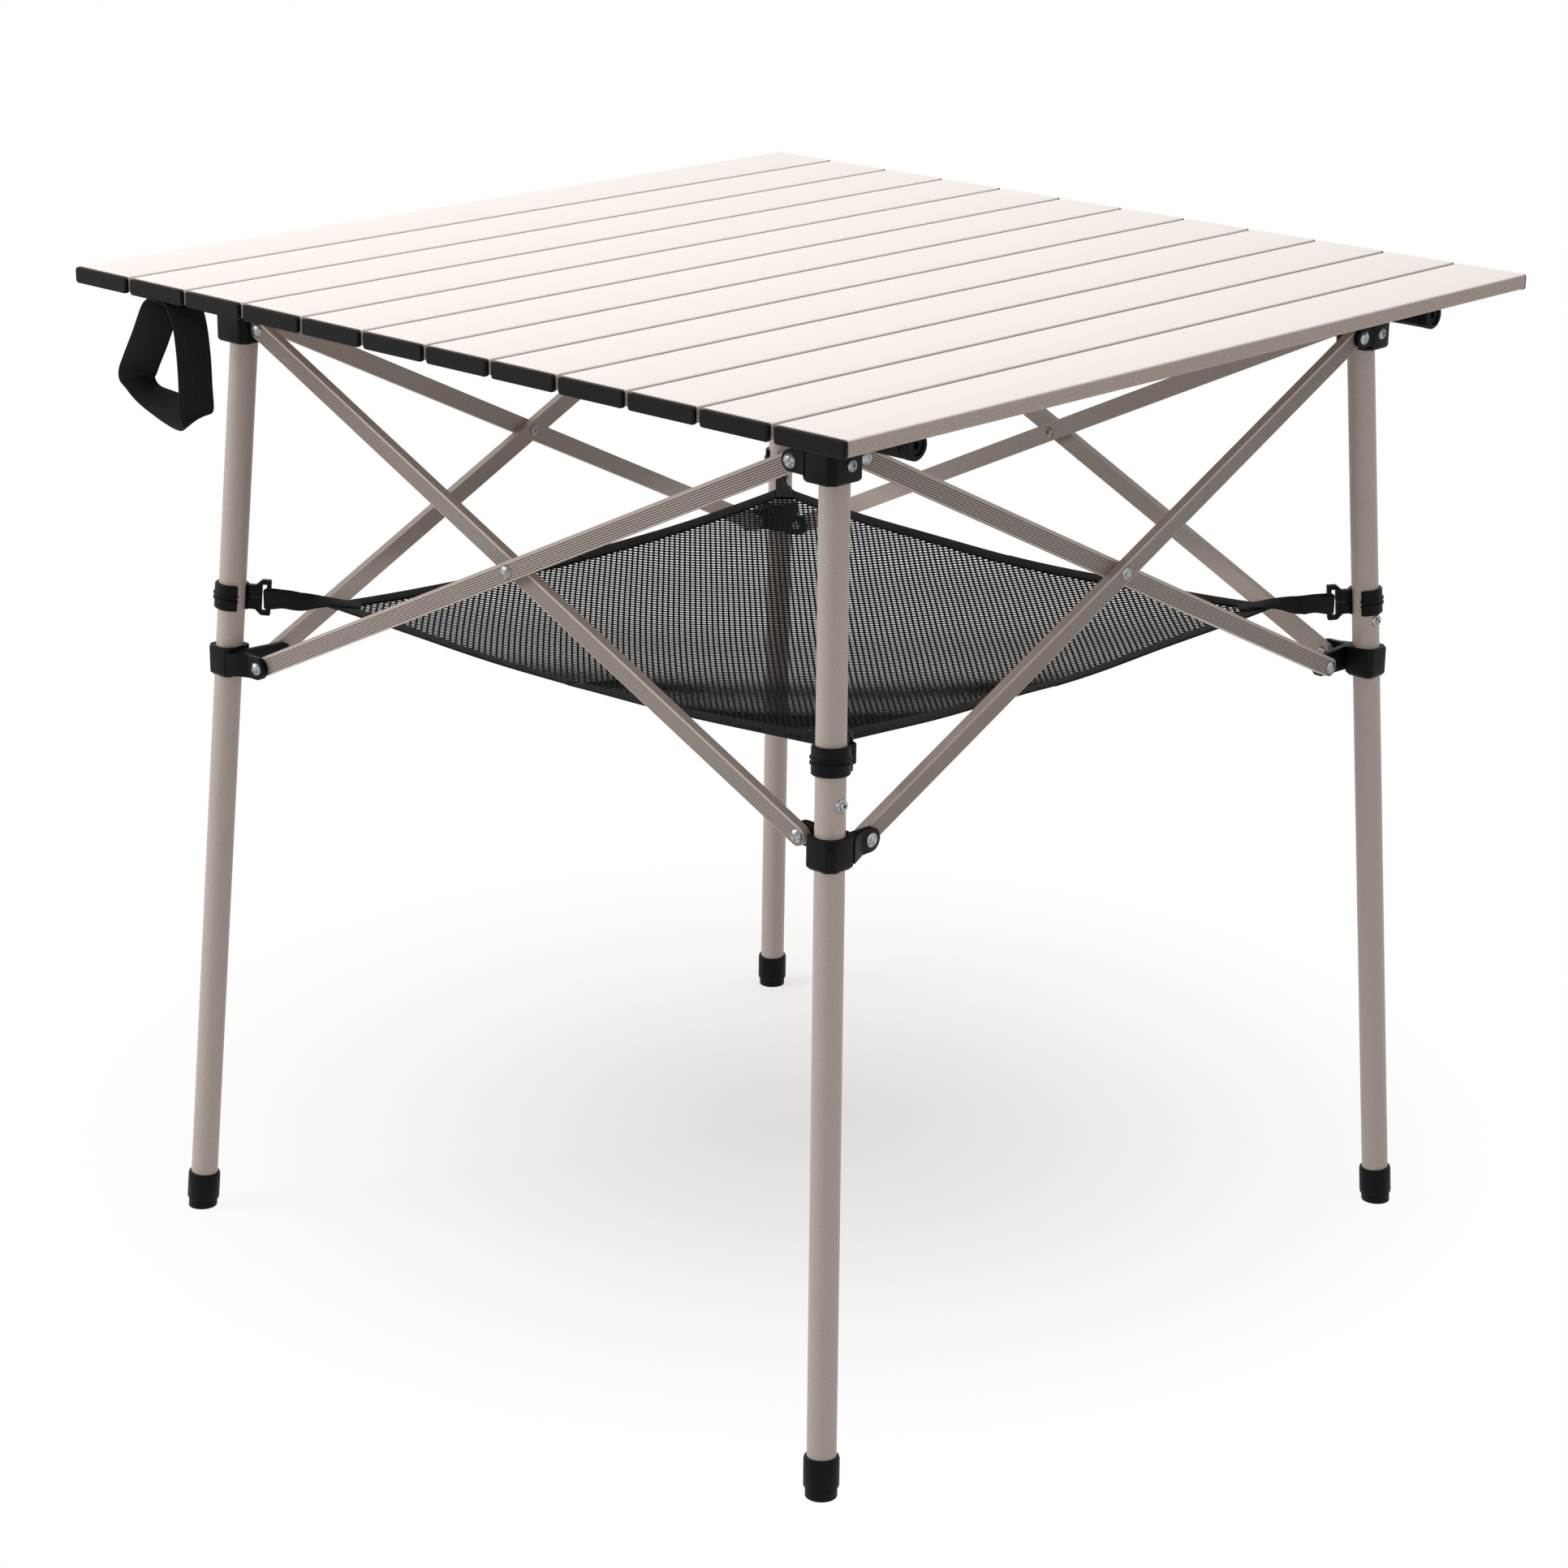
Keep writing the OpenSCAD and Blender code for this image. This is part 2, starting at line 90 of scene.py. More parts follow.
class TopSizes(bpy.types.PropertyGroup):
    """Sizes of the slatted top and its rails."""

    height: mm_size("Height", "Height of the slats' upper face", 694)
    slat_width: mm_size("Slat width", "Width of a slat", 55.8)
    slat_pitch: mm_size("Slat pitch", "Distance between the middles of two slats", 58.4)
    slat_thick: mm_size("Slat thickness", "Thickness of a slat", 10.6)
    slat_length: mm_size("Slat length", "Length of a slat with its caps", 700)
    slat_corner: mm_size("Slat corner", "Rounding of a slat's long edges", 2.4)
    cap_flange: mm_size("Cap flange", "Visible thickness of an end cap", 3)
    cap_inset: mm_size("Cap inset", "How far a cap stays inside the slat's sides", 0.9)
    cap_drop: mm_size("Cap drop", "How far a cap sits below the slat's upper face", 0.6)
    cord: mm_size("Cord", "Diameter of the elastic cord", 4)
    rail: mm_size("Rail", "Diameter of a support rail", 18.6)
    rail_length: mm_size("Rail length", "Length of a support rail", 660)
    rail_gap: mm_size("Rail gap", "Distance between the rails", 532)
    sleeve: mm_size("Sleeve", "Length of a rail's end sleeve", 34)


class FrameSizes(bpy.types.PropertyGroup):
    """Sizes of the legs, bars and their joints."""

    leg: mm_size("Leg", "Diameter of a leg tube", 19)
    leg_half: mm_size("Leg place", "Distance of a leg's top pivot from the middle, along X and Y", 269.5)
    spread: mm_size("Spread", "How far a leg moves out between its pivot and its slider", 13.3)
    pivot_z: mm_size("Pivot height", "Height of the upper bar pivots", 654.5)
    drop: mm_size("Pivot drop", "Drop from the upper to the lower bar pivots", 236.5)
    pivot_half: mm_size("Pivot place", "Distance of a bar's pivot from the middle of a side", 249)
    bar_width: mm_size("Bar width", "Width of a scissor bar", 13)
    bar_thick: mm_size("Bar thickness", "Thickness of a scissor bar", 6)
    bar_gap: mm_size("Bar gap", "Distance of a bar from the plane between two crossed bars", 0.2)
    ear_gap: mm_size("Ear gap", "Distance from the plane between the bars to an ear", 6.5)
    ear_thick: mm_size("Ear thickness", "Thickness of an ear", 4)
    bracket_half: mm_size("Bracket half", "Half the width of a top bracket", 13.3)
    bar_hole: mm_size("Bar hole", "Radius of a bar's pivot holes", 2.55)
    groove: mm_size("Groove", "Width of a groove along a bar", 0.6)
    groove_pitch: mm_size("Groove pitch", "Distance between two grooves of a bar", 1.5)
    groove_edge: mm_size("Groove edge", "Distance of the first groove from a bar's edge", 1.3)
    slider_width: mm_size("Slider width", "Width of a slider", 23)
    slider_height: mm_size("Slider height", "Height of a slider", 21)
    rivet_head: mm_size("Rivet head", "Diameter of a rivet's head", 9.5)
    foot: mm_size("Foot", "Diameter of a foot", 23)


class NetSizes(bpy.types.PropertyGroup):
    """Sizes of the net shelf, its clips and the carry strap."""

    half: mm_size("Half width", "Distance of the net's edges from the middle", 235.5)
    height: mm_size("Height", "Height of the net's corners", 457)
    sag: mm_size("Sag", "How far the net's middle hangs below its corners", 27)
    edge_sag: mm_size("Edge sag", "How far the middle of an edge hangs below the corners", 8)
    raised: mm_size("Raised corner", "How far the front corner is drawn up by its clip", 8)
    edge_pull: mm_size("Edge pull", "How far the middle of an edge is drawn in", 7)
    hole_row: mm_size("Hole rows", "Distance between holes along the front to back diagonal", 4.9)
    hole_column: mm_size("Hole columns", "Distance between holes along the other diagonal", 4.0)
    yarn: mm_size("Yarn", "Thickness of the net", 0.5)
    binding: mm_size("Binding", "Width of the net's bound edge", 12)
    webbing: mm_size("Webbing", "Width of the hanging webbing", 13)
    strap: mm_size("Strap", "Width of the carry strap", 25)
    clip_reach: mm_size("Clip reach", "How far a clip's tab reaches from the side of its leg", 17.4)


class TableColours(bpy.types.PropertyGroup):
    """Colours of the finishes."""

    # The slats' top colour is painted light: the sand coat drawn paler on the top face, where the light from
    # above falls
    slat_top_painted_light: colour_choice("Slat top painted light", "Coat of the slats' upper face", "#F6EEE9")
    frame_paint: colour_choice("Frame paint", "Coat of the legs, bars and rails", "#B0A49C")
    plastic: colour_choice("Plastic", "Moulded joints, caps and feet", "#060606")
    zinc: colour_choice("Zinc", "Rivets and screws", "#A9ACAE")
    net: colour_choice("Net", "Net, binding and webbing", "#070707")
    floor: colour_choice("Floor", "Floor under the table", "#FBF6F2")


def layout():
    """The chosen sizes and the places that follow from them, in metres."""
    scene = bpy.context.scene
    top, legs, net = scene.camp_table_top, scene.camp_table_frame, scene.camp_table_net
    lean = math.atan(legs.spread * math.sqrt(2) / legs.drop)
    bar_length = math.hypot(2 * legs.pivot_half, legs.drop)
    plane, ear_far = legs.leg_half + legs.spread / 2, legs.ear_gap + legs.ear_thick
    return SimpleNamespace(
        top=top,
        legs=legs,
        net=net,
        paint=scene.camp_table_colours,
        lean=lean,
        bar_length=bar_length,
        bar_tilt=math.asin(legs.drop / bar_length),
        bar_plane=plane,
        ear_far=ear_far,
        ear_spans=((plane - ear_far, plane - legs.ear_gap), (plane + legs.ear_gap, plane + ear_far)),
        slider_z=legs.pivot_z - legs.drop,
        slider_half=legs.leg_half + legs.spread,
        leg_down=legs.pivot_z / math.cos(lean),
        clip_drop=[(legs.pivot_z - net.height - up * MM) / math.cos(lean) for up in CLIP_LIFT],
    )


def corner_turn(k):
    """Quarter turns that bring the front corner to corner k."""
    return Matrix.Rotation(math.radians(90 * k), 4, "Z")


def on_leg(k, size):
    """Places a shape on a leg: origin on its top pivot, Z up the leg, X outward."""
    legs = size.legs
    spot = Matrix.Translation((legs.leg_half, -legs.leg_half, legs.pivot_z))
    turn = Matrix.Rotation(math.radians(-45), 4, "Z") @ Matrix.Rotation(-size.lean, 4, "Y")
    return corner_turn(k) @ spot @ turn


def node(tree, kind, settings=(), inputs=()):
    """Adds a node, sets its properties, and links or sets its inputs by name or number."""
    made = tree.nodes.new(kind)
    for key, value in dict(settings).items():
        setattr(made, key, value)
    for key, value in dict(inputs).items():
        if isinstance(value, bpy.types.NodeSocket):
            tree.links.new(value, made.inputs[key])
        else:
            made.inputs[key].default_value = value
    return made


def new_finish(name):
    """An empty node material with its shader, or the finished one of that name and no shader."""
    found = bpy.data.materials.get(name)
    if found:
        return found, None, None
    made = bpy.data.materials.new(name)
    made.use_nodes = True
    return made, made.node_tree, made.node_tree.nodes["Principled BSDF"]


def maths(tree, operation, *values):
    """The result of a sum on links or plain numbers."""
    return node(tree, "ShaderNodeMath", {"operation": operation}, dict(enumerate(values))).outputs[0]


def dimmed(colour, share):
    """A colour made darker or lighter by a share."""
    return [c * share for c in colour[:3]] + [1]


def noise(tree, place, grain, detail):
    """Noise with a grain of about the given millimetres."""
    values = {"Vector": place, "Scale": 1 / (grain * MM), "Detail": detail}
    return node(tree, "ShaderNodeTexNoise", {}, values).outputs["Fac"]


def ranged(tree, value, start, end, low=0.0, high=1.0):
    """A value stretched from one range to another."""
    values = {"Value": value, "From Min": start, "From Max": end, "To Min": low, "To Max": high}
    return node(tree, "ShaderNodeMapRange", {}, values).outputs["Result"]


def blend(tree, share, first, second):
    """A colour between two."""
    return node(tree, "ShaderNodeMix", {"data_type": "RGBA"}, {0: share, 6: first, 7: second}).outputs[2]


def dress(tree, shader, colour, roughness, height=None, strength=0.0, depth=0.0):
    """Gives a shader its colour, roughness and small relief of a depth in millimetres."""
    tree.links.new(colour, shader.inputs["Base Color"])
    if isinstance(roughness, bpy.types.NodeSocket):
        tree.links.new(roughness, shader.inputs["Roughness"])
    else:
        shader.inputs["Roughness"].default_value = roughness
    if height:
        values = {"Height": height, "Strength": strength, "Distance": depth * MM}
        bump = node(tree, "ShaderNodeBump", {}, values)
        tree.links.new(bump.outputs["Normal"], shader.inputs["Normal"])


def powder_coat(name, colour, roughness, grit, upper=None):
    """Powder-coated aluminium: a hard satin coat with fine orange-peel grit and painted shade in its grooves;
    upper is a paler colour painted on the faces that look up, as the light from above falls on them.
    """
    finish, tree, shader = new_finish(name)
    if tree is None:
        return finish
    place = node(tree, "ShaderNodeTexCoord").outputs
    # The real grit is about 0.4 mm, drawn coarser here so that it shows
    fine = noise(tree, place["Object"], grit, 2.0)
    cloud = noise(tree, place["Object"], 60, 1.0)
    shade = blend(tree, ranged(tree, fine, 0.36, 0.56), dimmed(colour, 0.87), list(colour))
    # Grooves carry a mark and get painted shade, so they show as dark lines
    painted_groove_shade = node(tree, "ShaderNodeAttribute", {"attribute_name": "groove"}).outputs["Fac"]
    shade = blend(tree, painted_groove_shade, shade, dimmed(colour, 0.35))
    # Painted light: faces that look up are drawn in the paler upper colour, as if lit from above
    if upper:
        facing = node(tree, "ShaderNodeSeparateXYZ", {}, {0: place["Normal"]}).outputs[2]
        shade = blend(tree, ranged(tree, facing, 0.55, 0.9), shade, list(upper))
    rough = ranged(tree, cloud, 0.3, 0.7, roughness - 0.04, roughness + 0.04)
    dress(tree, shader, shade, rough, fine, 0.22, 0.15)
    shader.inputs["Specular IOR Level"].default_value = 0.12 if upper else 0.5
    return finish


def moulded_abs(size):
    """Moulded ABS: black, fine spark-eroded grain, a soft dull sheen, and paler along its sharp edges."""
    finish, tree, shader = new_finish("Moulded black ABS")
    if tree is None:
        return finish
    colour = size.paint.plastic
    place = node(tree, "ShaderNodeTexCoord").outputs["Object"]
    # Moulding grain of about 0.3 mm, drawn at 0.7 mm so that it shows
    grain = noise(tree, place, 0.7, 2.0)
    cloud = noise(tree, place, 18, 3.0)
    edge = node(tree, "ShaderNodeNewGeometry").outputs["Pointiness"]
    tint = blend(tree, cloud, dimmed(colour, 0.8), dimmed(colour, 1.2))
    # Sharp edges are drawn paler than the faces
    edge_paler = blend(tree, ranged(tree, edge, 0.52, 0.62), tint, dimmed(colour, 2.2))
    dress(tree, shader, edge_paler, ranged(tree, cloud, 0.3, 0.7, 0.44, 0.56), grain, 0.25, 0.1)
    shader.inputs["Specular IOR Level"].default_value = 0.11
    return finish


def zinc_steel(size):
    """Zinc-plated steel: bright grey metal, softly blurred, with small dull patches."""
    finish, tree, shader = new_finish("Zinc plated steel")
    if tree is None:
        return finish
    colour = size.paint.zinc
    patch = noise(tree, node(tree, "ShaderNodeTexCoord").outputs["Object"], 2.5, 3.0)
    tint = blend(tree, ranged(tree, patch, 0.36, 0.6), dimmed(colour, 0.4), list(colour))
    dress(tree, shader, tint, ranged(tree, patch, 0.3, 0.7, 0.24, 0.4))
    shader.inputs["Metallic"].default_value = 1.0
    return finish


def knitted_net(size):
    """Knitted polyester net: matt black yarn with a knit ripple of about 0.8 mm."""
    finish, tree, shader = new_finish("Knitted polyester net")
    if tree is None:
        return finish
    colour = size.paint.net
    knit = noise(tree, node(tree, "ShaderNodeTexCoord").outputs["Object"], 0.8, 2.0)
    tint = blend(tree, knit, dimmed(colour, 0.7), dimmed(colour, 1.6))
    dress(tree, shader, tint, 0.8, knit, 0.3, 0.2)
    shader.inputs["Specular IOR Level"].default_value = 0.1
    return finish


def ribbed_webbing(size, name, rib):
    """Woven polyester tape: matt black with lengthwise ribs, read from the tape's own map."""
    finish, tree, shader = new_finish(name)
    if tree is None:
        return finish
    colour = size.paint.net
    flat = node(tree, "ShaderNodeUVMap", {"uv_map": "tape"}).outputs["UV"]
    # A wave repeats every 0.314 units at scale 1, so this gives one rib for each rib width
    waves = []
    for way, width, bend in (("X", rib, 0.6), ("Y", 1.1, 1.5)):
        values = {"Vector": flat, "Scale": 0.31416 / (width * MM), "Distortion": bend, "Detail": 1.0}
        made = node(tree, "ShaderNodeTexWave", {"wave_type": "BANDS", "bands_direction": way}, values)
        waves.append(made.outputs["Fac"])
    weave = maths(tree, "MULTIPLY_ADD", waves[1], 0.35, waves[0])
    tint = blend(tree, weave, dimmed(colour, 0.4), dimmed(colour, 6))
    dress(tree, shader, tint, 0.7, weave, 0.6, 0.35)
    shader.inputs["Specular IOR Level"].default_value = 0.15
    return finish


def seen_rays(tree):
    """One for rays from the eye, a mirror or clear matter, and nought for bounces of the light itself."""
    path = node(tree, "ShaderNodeLightPath").outputs
    first = maths(tree, "MAXIMUM", path["Is Camera Ray"], path["Is Glossy Ray"])
    return maths(tree, "MAXIMUM", first, path["Is Transmission Ray"])


def frame_coat(size):
    """The sand-grey coat of the legs, bars and rails."""
    return powder_coat("Powder-coated aluminium sand", size.paint.frame_paint, 0.42, 0.8)


def slat_coat(size):
    """The slats' coat: the frame's sand colour on the sides, with a paler top painted as the light from above
    falls on it.
    """
    paint = size.paint
    return powder_coat("Powder-coated aluminium pale", paint.frame_paint, 0.52, 1.4, paint.slat_top_painted_light)


def from_faces(points, faces):
    """A mesh from points and faces, merged and with its normals outward."""
    mesh = bpy.data.meshes.new("shape")
    mesh.from_pydata([tuple(p) for p in points], [], faces)
    shape = bmesh.new()
    shape.from_mesh(mesh)
    bmesh.ops.remove_doubles(shape, verts=shape.verts, dist=1e-7)
    bmesh.ops.recalc_face_normals(shape, faces=shape.faces)
    shape.to_mesh(mesh)
    shape.free()
    return mesh


def lathe(profile, segments=64, closed=False):
    """A turned shape about Z from points of radius and height; closed joins the last to the first."""
    points, faces = [], []
    count = len(profile)
    for i in range(segments):
        a = 2 * math.pi * i / segments
        points += [(r * math.cos(a), r * math.sin(a), z) for r, z in profile]
    for i in range(segments):
        a, b = i * count, ((i + 1) % segments) * count
        for j in range(count if closed else count - 1):
            t = (j + 1) % count
            ring = [a + j, b + j, b + t, a + t]
            if profile[j][0] < 1e-9:
                ring.remove(b + j)
            if profile[t][0] < 1e-9:
                ring.remove(b + t)
            if len(ring) > 2:
                faces.append(ring)
    return from_faces(points, faces)


def stacked(outline, levels):
    """A solid over an outline in X and Y, drawn in by an amount at each level."""
    count, points = len(outline), []
    middle = sum((Vector(p) for p in outline), Vector((0, 0))) / count
    for z, draw in levels:
        for p in outline:
            arm = Vector(p) - middle
            spot = middle + Vector([c - math.copysign(min(draw, abs(c)), c) for c in arm])
            points.append((spot.x, spot.y, z))
    faces = [list(range(count))[::-1], list(range(len(points) - count, len(points)))]
    for level in range(len(levels) - 1):
        at = level * count
        for i in range(count):
            t = at + (i + 1) % count
            faces.append([at + i, t, t + count, at + count + i])
    return from_faces(points, faces)


def prism(outline, low, high):
    """A straight solid over an outline in X and Y."""
    return stacked(outline, [(low, 0), (high, 0)])


def placed(mesh, matrix):
    """The mesh, moved by the matrix."""
    mesh.transform(matrix)
    return mesh


def block(low, high):
    """A box between two corners."""
    (x0, y0, z0), (x1, y1, z1) = low, high
    return prism([(x0, y0), (x1, y0), (x1, y1), (x0, y1)], z0, z1)


def rounded(outline, radius, steps=4):
    """An outline with each corner rounded by the radius."""
    done, count = [], len(outline)
    for i in range(count):
        p = Vector(outline[i])
        a = (Vector(outline[i - 1]) - p).normalized()
        b = (Vector(outline[(i + 1) % count]) - p).normalized()
        start, end = p + a * radius, p + b * radius
        for s in range(steps + 1):
            t = s / steps
            done.append(tuple(start * (1 - t) ** 2 + p * 2 * t * (1 - t) + end * t**2))
    return done


def add_piece(name, mesh, finish, angle=32):
    """An object at the origin with a finish and shading that is smooth up to an angle."""
    mesh.name = name
    mesh.materials.clear()
    mesh.materials.append(finish)
    mesh.shade_smooth()
    mesh.set_sharp_from_angle(angle=math.radians(angle))
    made = bpy.data.objects.new(name, mesh)
    bpy.context.scene.collection.objects.link(made)
    return made


def settle(piece, body, slot, *nodes):
    """Hangs a finished piece on its body and hides the source nodes it stands for; slot is not used."""
    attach(piece, body)
    if nodes:
        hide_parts(*nodes)
    return piece


def plain(piece):
    """Turns a piece's modifiers into a plain mesh."""
    graph = bpy.context.evaluated_depsgraph_get()
    graph.update()
    mesh = bpy.data.meshes.new_from_object(piece.evaluated_get(graph), depsgraph=graph)
    piece.modifiers.clear()
    piece.data = mesh
    mesh.name = piece.name
    return piece


def drop_piece(piece):
    """Removes a helper object."""
    bpy.data.objects.remove(piece, do_unlink=True)


def moulding(name, finish, solids, cuts=(), soften=0.0, angle=32):
    """One moulded piece: solids joined, cuts taken out, and its edges softened."""
    made = add_piece(name, solids[0], finish, angle)
    helpers = []
    for kind, shapes in (("UNION", solids[1:]), ("DIFFERENCE", cuts)):
        for shape in shapes:
            helper = add_piece(name + "_helper", shape, finish, angle)
            helpers.append(helper)
            step = made.modifiers.new("join", "BOOLEAN")
            step.object, step.operation, step.solver = helper, kind, "EXACT"
    plain(made)
    for helper in helpers:
        drop_piece(helper)
    if soften:
        step = made.modifiers.new("soften", "BEVEL")
        step.width, step.segments, step.limit_method = soften, 2, "ANGLE"
        step.angle_limit = math.radians(28)
        step.use_clamp_overlap = True
        plain(made)
    made.data.shade_smooth()
    made.data.set_sharp_from_angle(angle=math.radians(angle))
    return made


def joined_meshes(meshes):
    """Several meshes as one."""
    shape = bmesh.new()
    for mesh in meshes:
        shape.from_mesh(mesh)
    made = bpy.data.meshes.new("shape")
    shape.to_mesh(made)
    shape.free()
    return made


def new_tree(name, inputs):
    """A geometry tree with named inputs, and its input and output nodes."""
    tree = bpy.data.node_groups.get(name)
    if tree:
        return tree, None, None
    tree = bpy.data.node_groups.new(name, "GeometryNodeTree")
    tree.interface.new_socket("Geometry", in_out="INPUT", socket_type="NodeSocketGeometry")
    for label, kind in inputs:
        tree.interface.new_socket(label, in_out="INPUT", socket_type="NodeSocket" + kind)
    tree.interface.new_socket("Geometry", in_out="OUTPUT", socket_type="NodeSocketGeometry")
    return tree, node(tree, "NodeGroupInput").outputs, node(tree, "NodeGroupOutput").inputs


def grown(name, tree, values, finish, start=None, angle=32):
    """A piece made by a geometry tree with its inputs set, as a plain mesh."""
    made = add_piece(name, start or bpy.data.meshes.new(name), finish, angle)
    step = made.modifiers.new("grow", "NODES")
    step.node_group = tree
    sockets = {s.name: s.identifier for s in tree.interface.items_tree if s.in_out == "INPUT"}
    for label, value in {**values, "Finish": finish}.items():
        step[sockets[label]] = value
    plain(made)
    if not made.data.polygons:
        raise RuntimeError("the tree made no faces for " + name)
    made.data.materials.clear()
    made.data.materials.append(finish)
    made.data.shade_smooth()
    made.data.set_sharp_from_angle(angle=math.radians(angle))
    return made


def slat_tree():
    """Tree of a slat's extrusion or its caps: a rounded section drawn out to both ends."""
    tree, given, result = new_tree(
        "slat_section",
        [
            ("Width", "Float"),
            ("Thickness", "Float"),
            ("Corner", "Float"),
            ("Start", "Float"),
            ("End", "Float"),
            ("Inset", "Float"),
            ("Closed", "Bool"),
            ("Place", "Vector"),
            ("Finish", "Material"),
        ],
    )
    if given is None:
        return tree
    box = node(
        tree,
        "GeometryNodeCurvePrimitiveQuadrilateral",
        {"mode": "RECTANGLE"},
        {"Width": given["Width"], "Height": given["Thickness"]},
    )
    soft = node(
        tree,
        "GeometryNodeFilletCurve",
        {"mode": "POLY"},
        {"Curve": box.outputs[0], "Radius": given["Corner"], "Count": 5},
    )
    face = node(tree, "GeometryNodeFillCurve", {"mode": "NGONS"}, {"Curve": soft.outputs[0]})
    begin = node(tree, "ShaderNodeCombineXYZ", {}, {"Y": given["Start"]})
    stood = node(
        tree,
        "GeometryNodeTransform",
        {},
        {
            "Geometry": face.outputs[0],
            "Rotation": (math.radians(-90), 0, 0),
            "Translation": begin.outputs[0],
        },
    )
    span = maths(tree, "SUBTRACT", given["End"], given["Start"])
    body = maths(tree, "SUBTRACT", span, given["Inset"])
    run = node(tree, "ShaderNodeCombineXYZ", {}, {"Y": body})
    long = node(
        tree,
        "GeometryNodeExtrudeMesh",
        {"mode": "FACES"},
        {"Mesh": stood.outputs[0], "Offset": run.outputs[0], "Offset Scale": 1.0, "Individual": False},
    )
    last = node(tree, "ShaderNodeCombineXYZ", {}, {"Y": given["Inset"]})
    tip = node(
        tree,
        "GeometryNodeExtrudeMesh",
        {"mode": "FACES"},
        {
            "Mesh": long.outputs["Mesh"],
            "Selection": long.outputs["Top"],
            "Offset": last.outputs[0],
            "Offset Scale": 1.0,
            "Individual": False,
        },
    )
    twice = maths(tree, "MULTIPLY", given["Inset"], -2.0)
    wide = maths(tree, "DIVIDE", twice, given["Width"])
    tall = maths(tree, "DIVIDE", twice, given["Thickness"])
    shrink = node(tree, "ShaderNodeCombineXYZ", {}, {"X": wide, "Z": tall})
    at = node(tree, "GeometryNodeInputPosition")
    move = node(
        tree, "ShaderNodeVectorMath", {"operation": "MULTIPLY"}, {0: at.outputs[0], 1: shrink.outputs[0]}
    )
    ended = node(
        tree,
        "GeometryNodeSetPosition",
        {},
        {"Geometry": tip.outputs["Mesh"], "Selection": tip.outputs["Top"], "Offset": move.outputs[0]},
    )
    back = node(tree, "GeometryNodeFlipFaces", {}, {"Mesh": stood.outputs[0]})
    shut = node(
        tree,
        "GeometryNodeSwitch",
        {"input_type": "GEOMETRY"},
        {"Switch": given["Closed"], "True": back.outputs[0]},
    )
    half = node(tree, "GeometryNodeJoinGeometry")
    tree.links.new(ended.outputs[0], half.inputs[0])
    tree.links.new(shut.outputs[0], half.inputs[0])
    other = node(
        tree,
        "GeometryNodeTransform",
        {},
        {"Geometry": half.outputs[0], "Rotation": (0, 0, math.radians(180))},
    )
    both = node(tree, "GeometryNodeJoinGeometry")
    tree.links.new(half.outputs[0], both.inputs[0])
    tree.links.new(other.outputs[0], both.inputs[0])
    tight = node(tree, "GeometryNodeMergeByDistance", {}, {"Geometry": both.outputs[0], "Distance": 1e-6})
    put = node(
        tree, "GeometryNodeTransform", {}, {"Geometry": tight.outputs[0], "Translation": given["Place"]}
    )
    real = node(tree, "GeometryNodeRealizeInstances", {}, {"Geometry": put.outputs[0]})
    done = node(
        tree, "GeometryNodeSetMaterial", {}, {"Geometry": real.outputs[0], "Material": given["Finish"]}
    )
    tree.links.new(done.outputs[0], result[0])
    return tree


